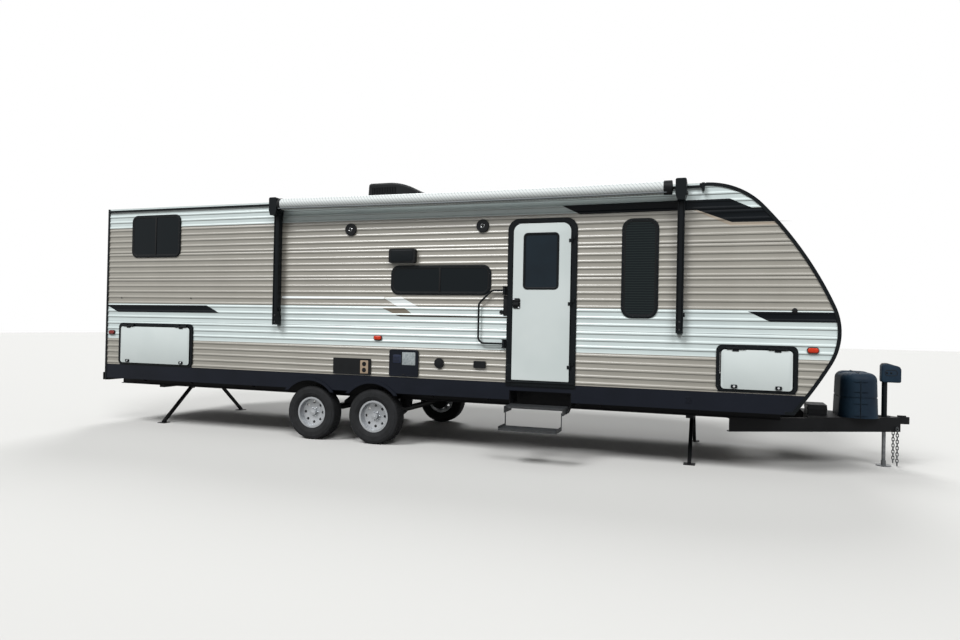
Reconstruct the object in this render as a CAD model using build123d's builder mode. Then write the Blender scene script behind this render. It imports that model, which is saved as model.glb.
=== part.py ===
# Travel caravan, whole vehicle, standing on its wheels, tongue jack and stabiliser legs.
# Millimetres. +X points forward along the tongue, -Y is the entry door side, +Z is up.
# The origin is the middle of the tongue jack's foot, on the ground.
from math import cos, radians, sin, tan
import os

from build123d import *

os.makedirs("parts", exist_ok=True)

# Body shell
half_width = 1219.0
rear_x = -9710.0
nose_start_x = -1870.0
roof_z = 2940.0
roof_t = 60.0
roof_crown = 70.0
roof_end_fall = 420.0
floor_z = 820.0
floor_t = 87.0
wall_t = 44.0
siding_t = 6.0
front_wall_t = 50.0
rear_wall_t = 50.0
skirt_bottom_z = 600.0
skirt_t = 3.0
seat_gap = 0.3
move_gap = 6.0
pin_gap = 0.5

# Nose outline below the roof: radius and turn of each arc, roof to skirt
nose_arcs = [
    (740.0, 47.5),
    (3716.0, 18.5),
    (640.0, 53.0),
    (4285.0, 8.0),
]

# Siding: heights of the panels' top edges, and the ribs, counted down from each top edge
panel_tops = [3005.0, 2666.0, 2327.0, 1989.0, 1650.0, 1411.0, 1172.0]
rib_pitch = 75.0
rib_start = 4.0
rib_upper_slope = 18.0
rib_crest = 12.0
rib_lower_slope = 16.0
rib_depth = 4.8

# Chassis
rail_h = 203.0
rail_flange_w = 70.0
rail_flange_t = 8.0
rail_web_t = 6.0
rail_y = half_width - 359
rail_front_x = -1110.0
belly_t = 6.0
outrigger_t = 5.0
outrigger_xs = [rear_x + 410, rear_x + 1210, rear_x + 2210, -4950.0, -4250.0, -2950.0, -1900.0]
outrigger_tip_h = 45.0

# Tongue
tongue_beam_h = 145.0
tongue_beam_w = 50.0
tongue_web_t = 6.0
tongue_flange_t = 8.0
tongue_rear_x = -1615.0
tongue_rear_y = rail_y + 8
tongue_front_x = 137.0
tongue_front_y = 33.0

# Coupler
coupler_plate_t = 8.0
ball_x = 198.0
ball_r = 29.4
coupler_head_r = 45.0
coupler_bottom_z = 469.0
coupler_top_z = 543.0

# Tongue jack
jack_tube_r = 28.0
jack_bore_r = 20.2
jack_ram_r = 19.5
jack_tube_bottom_z = 385.0
jack_tube_top_z = 916.0
jack_ram_top_z = 600.0
jack_foot_r = 75.0
jack_foot_t = 10.0
jack_socket_r = 25.0
jack_socket_h = 50.0
jack_flange_r = 62.0
jack_flange_t = 9.0
jack_head_back_x = -36.0
jack_head_front_x = 145.0
jack_head_w = 116.0
jack_head_top_z = 1120.0
jack_head_fall = 38.0
jack_head_corner_r = 32.0
jack_head_top_r = 20.0

# Gas bottle cover and battery
tray_t = 6.0
cover_rear_x = -480.0
cover_front_x = -94.0
cover_half_w = 345.0
cover_top_z = 1014.0
cover_corner_r = 160.0
cover_shoulder_r = 80.0
cover_saddle_r = 150.0
cover_saddle_drop = 34.0
cover_waist_z = 745.0
cover_waist_t = 7.0
cover_waist_h = 16.0
cover_slot = (60.0, 13.0, 9.0)
cover_slot_side = 10.0
cover_slot_rows = [550.0, 680.0, 803.0, 910.0]
battery_rear_x = -785.0
battery_front_x = -580.0
battery_half_w = 170.0
battery_h = 215.0
battery_pan_drop = 105.0
battery_pan_t = 3.0
battery_side_gap = 1.0

# Running gear
tyre_r = 331.0
tyre_w = 205.0
wheel_y = half_width - 144
rear_axle_x = -6467.0
axle_spacing = 851.0
rim_r = 178.0
rim_w = 152.0
rim_lip_h = 12.0
drum_r = 127.0
axle_tube_r = 38.0
spindle_r = 16.0
arch_r = 400.0
arch_lip_w = 36.0
arch_lip_t = 10.0
spring_half = 330.0
spring_rise = 62.0
spring_leaf_t = 9.0
spring_w = 45.0

# Entry door, outer edges of its white leaf, and the frame round it
door_x = (-3890.0, -3240.0)
door_z = (850.0, 2580.0)
door_corner_r = 95.0
door_t = 38.0
door_proud = 20.0
door_flange_side = 65.0
door_flange_top = 53.0
door_flange_bottom = 65.0
door_window_x = (-3769.0, -3375.0)
door_window_z = (1853.0, 2470.0)
door_window_r = 45.0
hinge_r = 8.0
hinge_out = 30.0
door_hinge_zs = [1030.0, 1715.0, 2400.0]
flange_t = 12.0
flange_step = 7.0
sleeve_t = 20.0

# Baggage doors: name, side, and the leaf's x low, x high, z low, z high
baggage_doors = [
    ("baggage_door_front_right", -1, -1701.0, -1030.0, 855.0, 1259.0),
    ("baggage_door_front_left", 1, -1701.0, -1030.0, 855.0, 1259.0),
    ("baggage_door_rear_right", -1, rear_x + 280, rear_x + 1434, 845.0, 1343.0),
]
baggage_corner_r = 40.0
baggage_flange = 44.0
baggage_flange_bottom = 22.0

# Windows: side, x low, x high, z low, z high, corner radius, all at the frame's outer edge
windows = [
    (-1, -5385.0, -4146.0, 1787.0, 2130.0, 100.0),
    (-1, -2704.0, -2324.0, 1553.0, 2600.0, 110.0),
    (-1, rear_x + 429, rear_x + 1243, 2271.0, 2838.0, 90.0),
    (1, -2704.0, -2324.0, 1553.0, 2600.0, 110.0),
    (1, -6900.0, -5700.0, 1560.0, 2180.0, 100.0),
    (1, rear_x + 429, rear_x + 1243, 2271.0, 2838.0, 90.0),
]
window_flange_w = 28.0
window_lap = 16.0
window_flange_t = 10.0
pane_t = 6.0

# Grab rail beside the entry door
grab_axis_x = -3980.0
grab_axis_out = 38.0
grab_r = 11.0
grab_reach_x = -4275.0
grab_top_z = 1838.0
grab_bottom_z = 1248.0
grab_chamfer_x = -4123.0
grab_chamfer_z = 1690.0
grab_corner_r = 72.0
grab_knuckle_h = 64.0
grab_pin_r = 5.0

# Entry step
step_x = -3565.0
step_half_w = 345.0
step_plate_t = 5.0
step_pivot_z = 610.0
step_pivot_out = half_width - 89
step_pivot_gap = 110.0
step_link = 230.0
step_link_fall = 20.0
step_link_w = 24.0
step_link_t = 6.0
tread_t = 25.0
tread_top_z = 590.0
tread_outs = (half_width + 5, half_width + 249)
lower_pivot = (half_width + 269, 535.0)
lower_tread_outs = (half_width + 281, half_width + 521)
lower_tread_zs = (362.0, 385.0)

# Stabiliser legs
stabiliser_xs = [("front", -2000.0), ("rear", rear_x + 670)]
leg_pivot_y = 300.0
leg_pivot_z = 470.0
leg_foot_y = rail_y - 30
leg_w = 40.0
leg_t = 36.0
leg_foot_size = 120.0
leg_foot_t = 8.0
leg_shoe_h = 22.0
leg_pin_r = 9.0
leg_ear_t = 6.0
beam_h = 30.0
beam_w = 84.0
beam_half = rail_y + 20

# Awning
roller_x = (-6845.0, -2245.0)
roller_r = 70.0
roller_out = half_width + 131
roller_z = roof_z - 57
cap_ls = (12.0, 55.0)
arm_xs = [-6922.0, -2104.0]
arm_w = 70.0
arm_head_w = 108.0
arm_head_taper = 61.0
arm_head_r = 18.0
arm_z = (1404.0, roof_z - 78)
arm_out = (half_width + 19, half_width + 95)
arm_head_z = (roof_z - 130, roof_z + 26)
arm_head_out = half_width + 183
arm_foot_h = 120.0
arm_foot_side = -4.0
arm_groove_w = 49.0
arm_groove_t = 20.0
arm_inner_w = 37.0
arm_knob_r = 22.0
arm_knob_l = 16.0
arm_knob_rise = 190.0

# Air conditioner on the roof
ac_x = (-6193.0, -5340.0)
ac_flat_x = -5881.0
ac_half_w = 360.0
ac_h = 367.0
ac_nose_h = 186.0
ac_end_lean = 24.0
ac_corner_r = 40.0
ac_rim_r = 30.0
louvre_in = 83.0
louvre_w = 11.0
louvre_h = 100.0
louvre_t = 14.0
louvre_pitch = 24.0
louvre_count = 15
louvre_rise = 205.0

# Rear bumper
bumper_x = (rear_x - 140, rear_x - 38)
bumper_z = (590.0, 692.0)
bumper_half = half_width - 99
bumper_wall = 5.0

# Worked out from the sizes above
floor_bottom_z = floor_z - floor_t
rail_top_z = floor_bottom_z
rail_bottom_z = rail_top_z - rail_h
wall_out = half_width - siding_t
wall_in = wall_out - wall_t
tongue_top_z = rail_bottom_z
tongue_mid_z = tongue_top_z - tongue_beam_h / 2
axle_xs = [("rear", rear_axle_x), ("front", rear_axle_x + axle_spacing)]
sides = [("right", -1), ("left", 1)]
wall_face = half_width + seat_gap
tray_z = tongue_top_z
cover_z = tray_z + tray_t + seat_gap


def keep(builder, label):
    """Name a finished piece and write it out."""
    builder.part.label = label
    export_step(builder.part, "parts/" + label + ".step")


def block(x_pair, y_pair, z_pair, mode=Mode.ADD):
    """An upright box between two corners, in the part being built."""
    centre = ((x_pair[0] + x_pair[1]) / 2, (y_pair[0] + y_pair[1]) / 2, (z_pair[0] + z_pair[1]) / 2)
    with Locations(centre):
        Box(abs(x_pair[1] - x_pair[0]), abs(y_pair[1] - y_pair[0]), abs(z_pair[1] - z_pair[0]), mode=mode)


def rod(start, end, radius, mode=Mode.ADD):
    """A round bar between two points, in the part being built."""
    along = Vector(*end) - Vector(*start)
    with BuildSketch(Plane(origin=start, z_dir=along)) as end_face:
        Circle(radius)
    extrude(end_face.sketch, amount=along.length, mode=mode)


def side_plane(side, out):
    """Upright plane beside the body: x forward, y up, facing outwards or inwards as XZ does."""
    return Plane(origin=(0, side * out, 0), x_dir=(1, 0, 0), z_dir=(0, -1, 0))


def panel(side, out_low, out_high, x_pair, z_pair, corner=0.0, mode=Mode.ADD):
    """A flat panel with rounded corners, between two distances out from the centreline."""
    with BuildSketch(side_plane(side, out_low)) as face:
        with Locations(((x_pair[0] + x_pair[1]) / 2, (z_pair[0] + z_pair[1]) / 2)):
            width = x_pair[1] - x_pair[0]
            height = z_pair[1] - z_pair[0]
            if corner > 0:
                RectangleRounded(width, height, corner)
            else:
                Rectangle(width, height)
    extrude(face.sketch, amount=-side * (out_high - out_low), mode=mode)


def grown(pair, by):
    """A pair of limits, each moved outwards."""
    return (pair[0] - by, pair[1] + by)


# Side outline of the body, seen from the door side
with BuildSketch() as body_outline:
    with BuildLine():
        top_edge = Line((rear_x, roof_z), (nose_start_x, roof_z))
        nose_edge = top_edge
        for arc_radius, arc_turn in nose_arcs:
            nose_edge = JernArc(nose_edge @ 1, nose_edge % 1, arc_radius, -arc_turn)
        underside = Line(nose_edge @ 1, (rear_x, (nose_edge @ 1).Y))
        Line(underside @ 1, (rear_x, roof_z))
    make_face()


def outline_between(x_pair, z_pair, inset=0.0):
    """The part of the body's side outline inside a rectangle, shrunk by the inset."""
    with BuildSketch() as clipped:
        add(body_outline.sketch_local)
        if inset > 0:
            offset(amount=-inset, mode=Mode.REPLACE)
        with Locations(((x_pair[0] + x_pair[1]) / 2, (z_pair[0] + z_pair[1]) / 2)):
            Rectangle(x_pair[1] - x_pair[0], z_pair[1] - z_pair[0], mode=Mode.INTERSECT)
    return clipped.sketch_local


def slab(side, out_low, out_high, outline, mode=Mode.ADD):
    """An upright slab with the given side outline."""
    with BuildSketch(side_plane(side, out_low)) as face:
        add(outline)
    extrude(face.sketch, amount=-side * (out_high - out_low), mode=mode)


everywhere_x = (rear_x, 0.0)
wall_outline = outline_between(everywhere_x, (floor_z, roof_z))
skirt_outline = outline_between(everywhere_x, (skirt_bottom_z, floor_z))

door_gap_x = grown(door_x, move_gap)
door_gap_z = grown(door_z, move_gap)
door_cut_x = grown(door_gap_x, sleeve_t)
door_cut_z = (floor_z, door_gap_z[1] + sleeve_t)


def opening_low(leaf_low_z):
    """Lowest height of the hole in the wall for a door leaf."""
    return max(leaf_low_z - move_gap - sleeve_t, floor_z)


def cut_openings(side, out_low, out_high):
    """Cut the windows and doors of one side out of the wall or siding being built."""
    for window_side, x_low, x_high, z_low, z_high, corner in windows:
        if window_side == side:
            hole_x = grown((x_low, x_high), -window_lap)
            hole_z = grown((z_low, z_high), -window_lap)
            panel(side, out_low, out_high, hole_x, hole_z, corner - window_lap, Mode.SUBTRACT)
    for _, door_side, x_low, x_high, z_low, z_high in baggage_doors:
        if door_side == side:
            hole_x = grown((x_low, x_high), move_gap + sleeve_t)
            hole_z = (opening_low(z_low), z_high + move_gap + sleeve_t)
            panel(side, out_low, out_high, hole_x, hole_z, 0.0, Mode.SUBTRACT)
    if side < 0:
        panel(side, out_low, out_high, door_cut_x, door_cut_z, 0.0, Mode.SUBTRACT)


# Chassis rails, one I-beam a side
with BuildPart() as frame_rails:
    with BuildSketch(Plane.YZ.offset(bumper_x[1])):
        with Locations(*[(side * rail_y, (rail_top_z + rail_bottom_z) / 2) for _, side in sides]):
            Rectangle(rail_web_t, rail_h)
            with Locations((0, (rail_h - rail_flange_t) / 2), (0, -(rail_h - rail_flange_t) / 2)):
                Rectangle(rail_flange_w, rail_flange_t)
    extrude(amount=rail_front_x - bumper_x[1])
keep(frame_rails, "frame_rails")

# Outriggers that carry the floor's edge outboard of the rails
outrigger_tip_y = half_width - skirt_t - seat_gap
with BuildPart() as outriggers:
    for outrigger_x in outrigger_xs:
        for _, side in sides:
            flange_edge_y = rail_y + rail_flange_w / 2
            with BuildSketch(Plane.YZ.offset(outrigger_x - outrigger_t / 2)):
                with BuildLine():
                    Polyline(
                        (side * flange_edge_y, rail_top_z),
                        (side * outrigger_tip_y, rail_top_z),
                        (side * outrigger_tip_y, rail_top_z - outrigger_tip_h),
                        (side * flange_edge_y, rail_top_z - rail_h * 0.8),
                        close=True,
                    )
                make_face()
            extrude(amount=outrigger_t)
            flange_x = (outrigger_x - outrigger_t / 2, outrigger_x + 8 * outrigger_t)
            flange_y = (side * flange_edge_y, side * outrigger_tip_y)
            block(flange_x, flange_y, (rail_top_z - outrigger_t, rail_top_z))
keep(outriggers, "outriggers")

# Sheet that closes the underside between the rails
belly_y = rail_y - rail_flange_w / 2 - seat_gap
belly_x = (bumper_x[1] + 20, tongue_rear_x - 40)
belly_bottom_z = rail_bottom_z + rail_flange_t
with BuildPart() as underbelly:
    block(belly_x, (-belly_y, belly_y), (belly_bottom_z, belly_bottom_z + belly_t))
keep(underbelly, "underbelly")

# Tongue beams, C-channels that meet at the coupler
beam_run = Vector(tongue_front_x - tongue_rear_x, tongue_front_y - tongue_rear_y)
with BuildPart() as tongue_beams:
    for _, side in sides:
        beam_along = Vector(beam_run.X, side * beam_run.Y, 0).normalized()
        beam_plane = Plane(
            origin=(tongue_rear_x, side * tongue_rear_y, tongue_mid_z),
            x_dir=Vector(beam_along.Y, -beam_along.X, 0) * -side,
            z_dir=beam_along,
        )
        with BuildSketch(beam_plane):
            Rectangle(tongue_beam_w, tongue_beam_h)
            with Locations((-tongue_web_t, 0)):
                Rectangle(tongue_beam_w, tongue_beam_h - 2 * tongue_flange_t, mode=Mode.SUBTRACT)
        extrude(amount=beam_run.length)
keep(tongue_beams, "tongue_beams")

# Coupler: top plate over the beams' ends and the socket for the ball
plate_z = (tongue_top_z, tongue_top_z + coupler_plate_t)
neck_x = tongue_front_x + 14
coupler_rear_x = -85.0
coupler_rear_half = 160.0
coupler_shoulder = (60.0, 90.0)
latch_back = 70.0
latch_ahead = 10.0
latch_half_w = 16.0
latch_h = 14.0
with BuildPart() as coupler:
    with BuildSketch(Plane.XY.offset(plate_z[0])):
        with BuildLine():
            Polyline(
                (coupler_rear_x, coupler_rear_half),
                coupler_shoulder,
                (neck_x, coupler_head_r),
                (ball_x, coupler_head_r),
                (ball_x, 0),
                (coupler_rear_x, 0),
                close=True,
            )
        make_face()
        mirror(about=Plane.XZ)
    extrude(amount=coupler_plate_t)
    block((neck_x, ball_x), (-coupler_head_r, coupler_head_r), (coupler_bottom_z, plate_z[1]))
    with Locations((ball_x, 0, (coupler_bottom_z + coupler_top_z) / 2)):
        Cylinder(coupler_head_r, coupler_top_z - coupler_bottom_z)
    with Locations((ball_x, 0, coupler_bottom_z + ball_r * 0.4)):
        Sphere(ball_r, mode=Mode.SUBTRACT)
    with Locations((ball_x, 0, coupler_bottom_z)):
        Cylinder(ball_r * 0.92, ball_r * 0.8, mode=Mode.SUBTRACT)
    with Locations((0, 0, plate_z[0])):
        Cylinder(jack_tube_r + seat_gap, 4 * coupler_plate_t, mode=Mode.SUBTRACT)
    latch_z = (coupler_top_z - latch_h / 2, coupler_top_z + latch_h)
    block((ball_x - latch_back, ball_x + latch_ahead), (-latch_half_w, latch_half_w), latch_z)
keep(coupler, "coupler")

# Tongue jack: outer tube with its flange and power head
with BuildPart() as jack_housing:
    with Locations((0, 0, (jack_tube_bottom_z + jack_tube_top_z) / 2)):
        Cylinder(jack_tube_r, jack_tube_top_z - jack_tube_bottom_z)
    with Locations((0, 0, plate_z[1] + seat_gap + jack_flange_t / 2)):
        Cylinder(jack_flange_r, jack_flange_t)
    with Locations((0, 0, (jack_tube_bottom_z + jack_tube_top_z) / 2)):
        Cylinder(jack_bore_r, jack_tube_top_z - jack_tube_bottom_z, mode=Mode.SUBTRACT)
    head_low_z = jack_head_top_z - jack_head_fall
    with BuildPart(mode=Mode.PRIVATE) as jack_head:
        with BuildSketch(side_plane(1, jack_head_w / 2)):
            with BuildLine():
                Polyline(
                    (jack_head_back_x, jack_tube_top_z),
                    (jack_head_back_x, jack_head_top_z),
                    (jack_head_back_x + jack_head_w / 2, jack_head_top_z),
                    (jack_head_front_x, head_low_z),
                    (jack_head_front_x, jack_tube_top_z),
                    close=True,
                )
            make_face()
        extrude(amount=jack_head_w)
        fillet(jack_head.edges().filter_by(Axis.Z), jack_head_corner_r)
        upper_z = (jack_tube_top_z + head_low_z) / 2
        fillet([edge for edge in jack_head.edges() if edge.bounding_box().min.Z > upper_z], jack_head_top_r)
    add(jack_head.part)
keep(jack_housing, "jack_housing")

# Tongue jack: ram and foot
with BuildPart() as jack_ram:
    with BuildSketch():
        Circle(jack_foot_r)
    extrude(amount=jack_foot_t)
    with BuildSketch(Plane.XY.offset(jack_foot_t)):
        Circle(jack_socket_r)
    extrude(amount=jack_socket_h)
    with BuildSketch(Plane.XY.offset(jack_foot_t)):
        Circle(jack_ram_r)
    extrude(amount=jack_ram_top_z - jack_foot_t)
keep(jack_ram, "jack_ram")

# Tray on the tongue beams under the gas bottle cover, with a pan between the beams for the battery
beam_slope = (tongue_rear_y - tongue_front_y) / (tongue_front_x - tongue_rear_x)


def beam_centre_y(x):
    """Half distance between the tongue beams' centrelines."""
    return tongue_front_y + (tongue_front_x - x) * beam_slope


tray_x = (battery_rear_x - 15, cover_front_x + 8)
with BuildPart() as tongue_tray:
    with BuildSketch(Plane.XY.offset(tray_z)):
        with BuildLine():
            Polyline(
                (tray_x[0], beam_centre_y(tray_x[0])),
                (cover_rear_x, cover_half_w + 12),
                (tray_x[1], cover_half_w * 0.72),
                (tray_x[1], -cover_half_w * 0.72),
                (cover_rear_x, -cover_half_w - 12),
                (tray_x[0], -beam_centre_y(tray_x[0])),
                close=True,
            )
        make_face()
    extrude(amount=tray_t)
    pan_in_x = grown((battery_rear_x, battery_front_x), battery_side_gap)
    pan_in_y = grown((-battery_half_w, battery_half_w), battery_side_gap)
    pan_low_z = tray_z - battery_pan_drop
    block(grown(pan_in_x, battery_pan_t), grown(pan_in_y, battery_pan_t), (pan_low_z, tray_z + tray_t))
    block(pan_in_x, pan_in_y, (pan_low_z + battery_pan_t, tray_z + tray_t + 1), Mode.SUBTRACT)
keep(tongue_tray, "tongue_tray")

# Cover over the two gas bottles: a saddled top, a waist groove, a seam and vent slots on each side
cover_depth = cover_front_x - cover_rear_x
cover_mid_x = (cover_rear_x + cover_front_x) / 2
cover_taper = 2.0
cover_seam_w = 6.0
cover_seam_t = 5.0
with BuildPart() as gas_bottle_cover:
    shoulder_z = cover_top_z - cover_shoulder_r
    with BuildSketch(Plane.XY.offset(cover_z)):
        with Locations((cover_mid_x, 0)):
            RectangleRounded(cover_depth, 2 * cover_half_w, cover_corner_r)
    extrude(amount=cover_top_z - cover_z, taper=cover_taper)
    fillet(gas_bottle_cover.faces().sort_by(Axis.Z)[-1].edges(), cover_shoulder_r)
    saddle_z = cover_top_z + cover_saddle_r - cover_saddle_drop
    saddle_ends = [(x, 0, saddle_z) for x in (cover_rear_x - 1, cover_front_x + 1)]
    rod(saddle_ends[0], saddle_ends[1], cover_saddle_r, Mode.SUBTRACT)
    waist_inset = (cover_waist_z - cover_z) * tan(radians(cover_taper)) + cover_waist_t
    with BuildSketch(Plane.XY.offset(cover_waist_z)):
        with Locations((cover_mid_x, 0)):
            RectangleRounded(cover_depth + 20, 2 * cover_half_w + 20, cover_corner_r + 10)
            waist_r = cover_corner_r - waist_inset
            RectangleRounded(
                cover_depth - 2 * waist_inset, 2 * (cover_half_w - waist_inset), waist_r, mode=Mode.SUBTRACT
            )
    extrude(amount=cover_waist_h, mode=Mode.SUBTRACT)
    for side in (-1, 1):
        seam_y = (side * (cover_half_w - 20), side * (cover_half_w + 1))
        for seam_z in ((cover_z - 1, cover_waist_z), (cover_waist_z, shoulder_z)):
            inset = (seam_z[1] - cover_z) / 2 * tan(radians(cover_taper)) + cover_seam_t
            groove_y = (side * (cover_half_w - inset), seam_y[1])
            block(grown((cover_mid_x, cover_mid_x), cover_seam_w / 2), groove_y, seam_z, Mode.SUBTRACT)
        slot_l, slot_h, slot_t = cover_slot
        for slot_z in cover_slot_rows:
            inset = (slot_z - cover_z) * tan(radians(cover_taper)) + slot_t
            slot_y = (side * (cover_half_w - inset), seam_y[1])
            for beside in (-1, 1):
                slot_mid = cover_mid_x + beside * (slot_l / 2 + cover_slot_side)
                slot_x = grown((slot_mid, slot_mid), slot_l / 2)
                block(slot_x, slot_y, (slot_z, slot_z + slot_h), Mode.SUBTRACT)
keep(gas_bottle_cover, "gas_bottle_cover")

# Battery box behind the gas bottle cover, sitting in its pan
battery_z = pan_low_z + battery_pan_t + seat_gap
with BuildPart() as battery_box:
    with BuildSketch(Plane.XY.offset(battery_z)):
        with Locations(((battery_rear_x + battery_front_x) / 2, 0)):
            RectangleRounded(battery_front_x - battery_rear_x, 2 * battery_half_w, 14)
    extrude(amount=battery_h * 0.75, taper=2)
    with BuildSketch(Plane.XY.offset(battery_z + battery_h * 0.75)):
        with Locations(((battery_rear_x + battery_front_x) / 2, 0)):
            RectangleRounded(battery_front_x - battery_rear_x, 2 * battery_half_w, 14)
    extrude(amount=battery_h * 0.25, taper=6)
keep(battery_box, "battery_box")

# Axles: tube, brake backing plates and spindles
spindle_end_y = wheel_y + 34
plate_y = wheel_y - 142
with BuildPart() as axles:
    for _, axle_x in axle_xs:
        rod((axle_x, -plate_y, tyre_r), (axle_x, plate_y, tyre_r), axle_tube_r)
        for _, side in sides:
            rod((axle_x, side * (plate_y - 6), tyre_r), (axle_x, side * plate_y, tyre_r), drum_r)
            rod((axle_x, side * (plate_y - 1), tyre_r), (axle_x, side * spindle_end_y, tyre_r), spindle_r)
keep(axles, "axles")

# Leaf springs with their hangers, equaliser and U-bolt plates
leaf_shares = [1.0, 0.74, 0.48]
spring_mid_z = tyre_r + axle_tube_r + len(leaf_shares) * spring_leaf_t + 6
spring_eye_z = spring_mid_z + spring_rise
equaliser_x = rear_axle_x + axle_spacing / 2
hanger_plate_t = 7.0
hanger_w = spring_w + 4 * hanger_plate_t
hanger_half = 26.0
spring_eye_r = 15.0
spring_eye_drop = 5.0
pad_half_l = 52.0
pad_half_w = 26.0
pad_cap_t = 8.0
equaliser_half = 22.0
equaliser_top_half = 42.0
with BuildPart() as springs:
    for _, side in sides:
        inner_y = side * (rail_y - spring_w / 2)
        for _, axle_x in axle_xs:
            for leaf, share in enumerate(leaf_shares):
                top_z = spring_mid_z - leaf * spring_leaf_t
                end_z = top_z + spring_rise * share * share
                reach = spring_half * share
                with BuildSketch(side_plane(1, inner_y)):
                    with BuildLine():
                        ends_x = grown((axle_x, axle_x), reach)
                        upper = ThreePointArc((ends_x[0], end_z), (axle_x, top_z), (ends_x[1], end_z))
                        under_z = (end_z - spring_leaf_t, top_z - spring_leaf_t)
                        lower = ThreePointArc(
                            (ends_x[0], under_z[0]), (axle_x, under_z[1]), (ends_x[1], under_z[0])
                        )
                        Line(upper @ 0, lower @ 0)
                        Line(upper @ 1, lower @ 1)
                    make_face()
                extrude(amount=-side * spring_w)
            pad_x = grown((axle_x, axle_x), pad_half_l)
            pad_y = (side * (rail_y - pad_half_w), side * (rail_y + pad_half_w))
            pad_low_z = tyre_r + axle_tube_r + seat_gap
            block(pad_x, pad_y, (pad_low_z, spring_mid_z - (len(leaf_shares) - 1) * spring_leaf_t))
            block(pad_x, pad_y, (spring_mid_z - 1, spring_mid_z + pad_cap_t))
            for eye in (-1, 1):
                eye_x = axle_x + eye * spring_half
                eye_z = spring_eye_z - spring_eye_drop
                eye_ends = [(eye_x, side * (rail_y + end * hanger_w / 2), eye_z) for end in (-1, 1)]
                rod(eye_ends[0], eye_ends[1], spring_eye_r)
        for ear in (-1, 1):
            ear_in = side * rail_y + ear * (hanger_w / 2 - hanger_plate_t)
            ear_y = (ear_in, ear_in + ear * hanger_plate_t)
            for hanger_x in (axle_xs[0][1] - spring_half, axle_xs[1][1] + spring_half):
                hanger_z = (spring_eye_z - hanger_half, rail_bottom_z)
                block(grown((hanger_x, hanger_x), hanger_half), ear_y, hanger_z)
            inner_eyes = (axle_xs[0][1] + spring_half, axle_xs[1][1] - spring_half)
            low_x = grown(inner_eyes, equaliser_half)
            top_x = grown((equaliser_x, equaliser_x), equaliser_top_half)
            with BuildSketch(side_plane(1, ear_y[0])):
                with BuildLine():
                    Polyline(
                        (low_x[0], spring_eye_z - hanger_half + 2),
                        (low_x[1], spring_eye_z - hanger_half + 2),
                        (low_x[1], spring_eye_z + spring_eye_drop + 1),
                        (top_x[1], rail_bottom_z),
                        (top_x[0], rail_bottom_z),
                        (low_x[0], spring_eye_z + spring_eye_drop + 1),
                        close=True,
                    )
                make_face()
            extrude(amount=-ear * hanger_plate_t)
keep(springs, "springs")

# Wheels: a tyre and a rim with its hub and brake drum, at each axle end
tread_half_w = tyre_w * 0.37
shoulder_ys = (tyre_w * 0.43, tyre_w * 0.455)
tyre_bulge_r = 262.0
bead_top_r = rim_r + rim_lip_h + 2
hub_hole_r = spindle_r + pin_gap
disc_r = 168.0
drum_back = -136.0
drum_face = -70.0
lip_y = rim_w / 2
lip_r = rim_r + rim_lip_h
cap_face = 56.0
lug_hole_r = 17.0
lug_hole_circle_r = 122.0
lug_hole_count = 8

# Section of the rim and its drum: distance outboard of the wheel's middle, and radius
rim_section = [
    (drum_back, hub_hole_r),
    (drum_back, drum_r),
    (drum_face, drum_r),
    (drum_face, 66.0),
    (0.0, 66.0),
    (14.0, 150.0),
    (14.0, disc_r),
    (-lip_y - 6, disc_r),
    (-lip_y - 6, lip_r),
    (-lip_y, lip_r),
    (-lip_y, rim_r),
    (lip_y, rim_r),
    (lip_y, lip_r),
    (lip_y + 6, lip_r),
    (lip_y + 6, disc_r),
    (20.0, disc_r),
    (20.0, 150.0),
    (8.0, 60.0),
    (8.0, 42.0),
    (cap_face - 4, 36.0),
    (cap_face, 0.0),
    (cap_face - 8, 0.0),
    (cap_face - 8, hub_hole_r),
]
for axle_name, axle_x in axle_xs:
    for side_name, side in sides:
        wheel_plane = Plane(origin=(axle_x, side * wheel_y, tyre_r), x_dir=(0, side, 0), z_dir=(side, 0, 0))
        wheel_axis = Axis((axle_x, 0, tyre_r), (0, 1, 0))
        bead = rim_w / 2 - seat_gap
        with BuildPart() as tyre:
            with BuildSketch(wheel_plane):
                with BuildLine():
                    tread = Line((-tread_half_w, tyre_r), (tread_half_w, tyre_r))
                    shoulder_end = (shoulder_ys[1], tyre_r - 16)
                    shoulder = ThreePointArc(tread @ 1, (shoulder_ys[0], tyre_r - 4), shoulder_end)
                    wall = ThreePointArc(shoulder @ 1, (tyre_w / 2, tyre_bulge_r), (bead, bead_top_r))
                    heel = Line(wall @ 1, (bead, rim_r + seat_gap))
                    seat = Line(heel @ 1, (-bead, rim_r + seat_gap))
                    back_heel = Line(seat @ 1, (-bead, bead_top_r))
                    back_end = (-shoulder_ys[1], tyre_r - 16)
                    back_wall = ThreePointArc(back_heel @ 1, (-tyre_w / 2, tyre_bulge_r), back_end)
                    ThreePointArc(back_wall @ 1, (-shoulder_ys[0], tyre_r - 4), tread @ 0)
                make_face()
            revolve(axis=wheel_axis)
        keep(tyre, "tyre_" + side_name + "_" + axle_name)

        with BuildPart() as rim:
            with BuildSketch(wheel_plane):
                with BuildLine():
                    Polyline(*rim_section, close=True)
                make_face()
            revolve(axis=wheel_axis)
            vent_plane = Plane(origin=(axle_x, side * wheel_y, tyre_r), x_dir=(1, 0, 0), z_dir=(0, side, 0))
            with BuildSketch(vent_plane.offset(2)):
                with PolarLocations(lug_hole_circle_r, lug_hole_count):
                    Circle(lug_hole_r)
            extrude(amount=20, mode=Mode.SUBTRACT)
        keep(rim, "rim_" + side_name + "_" + axle_name)

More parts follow.
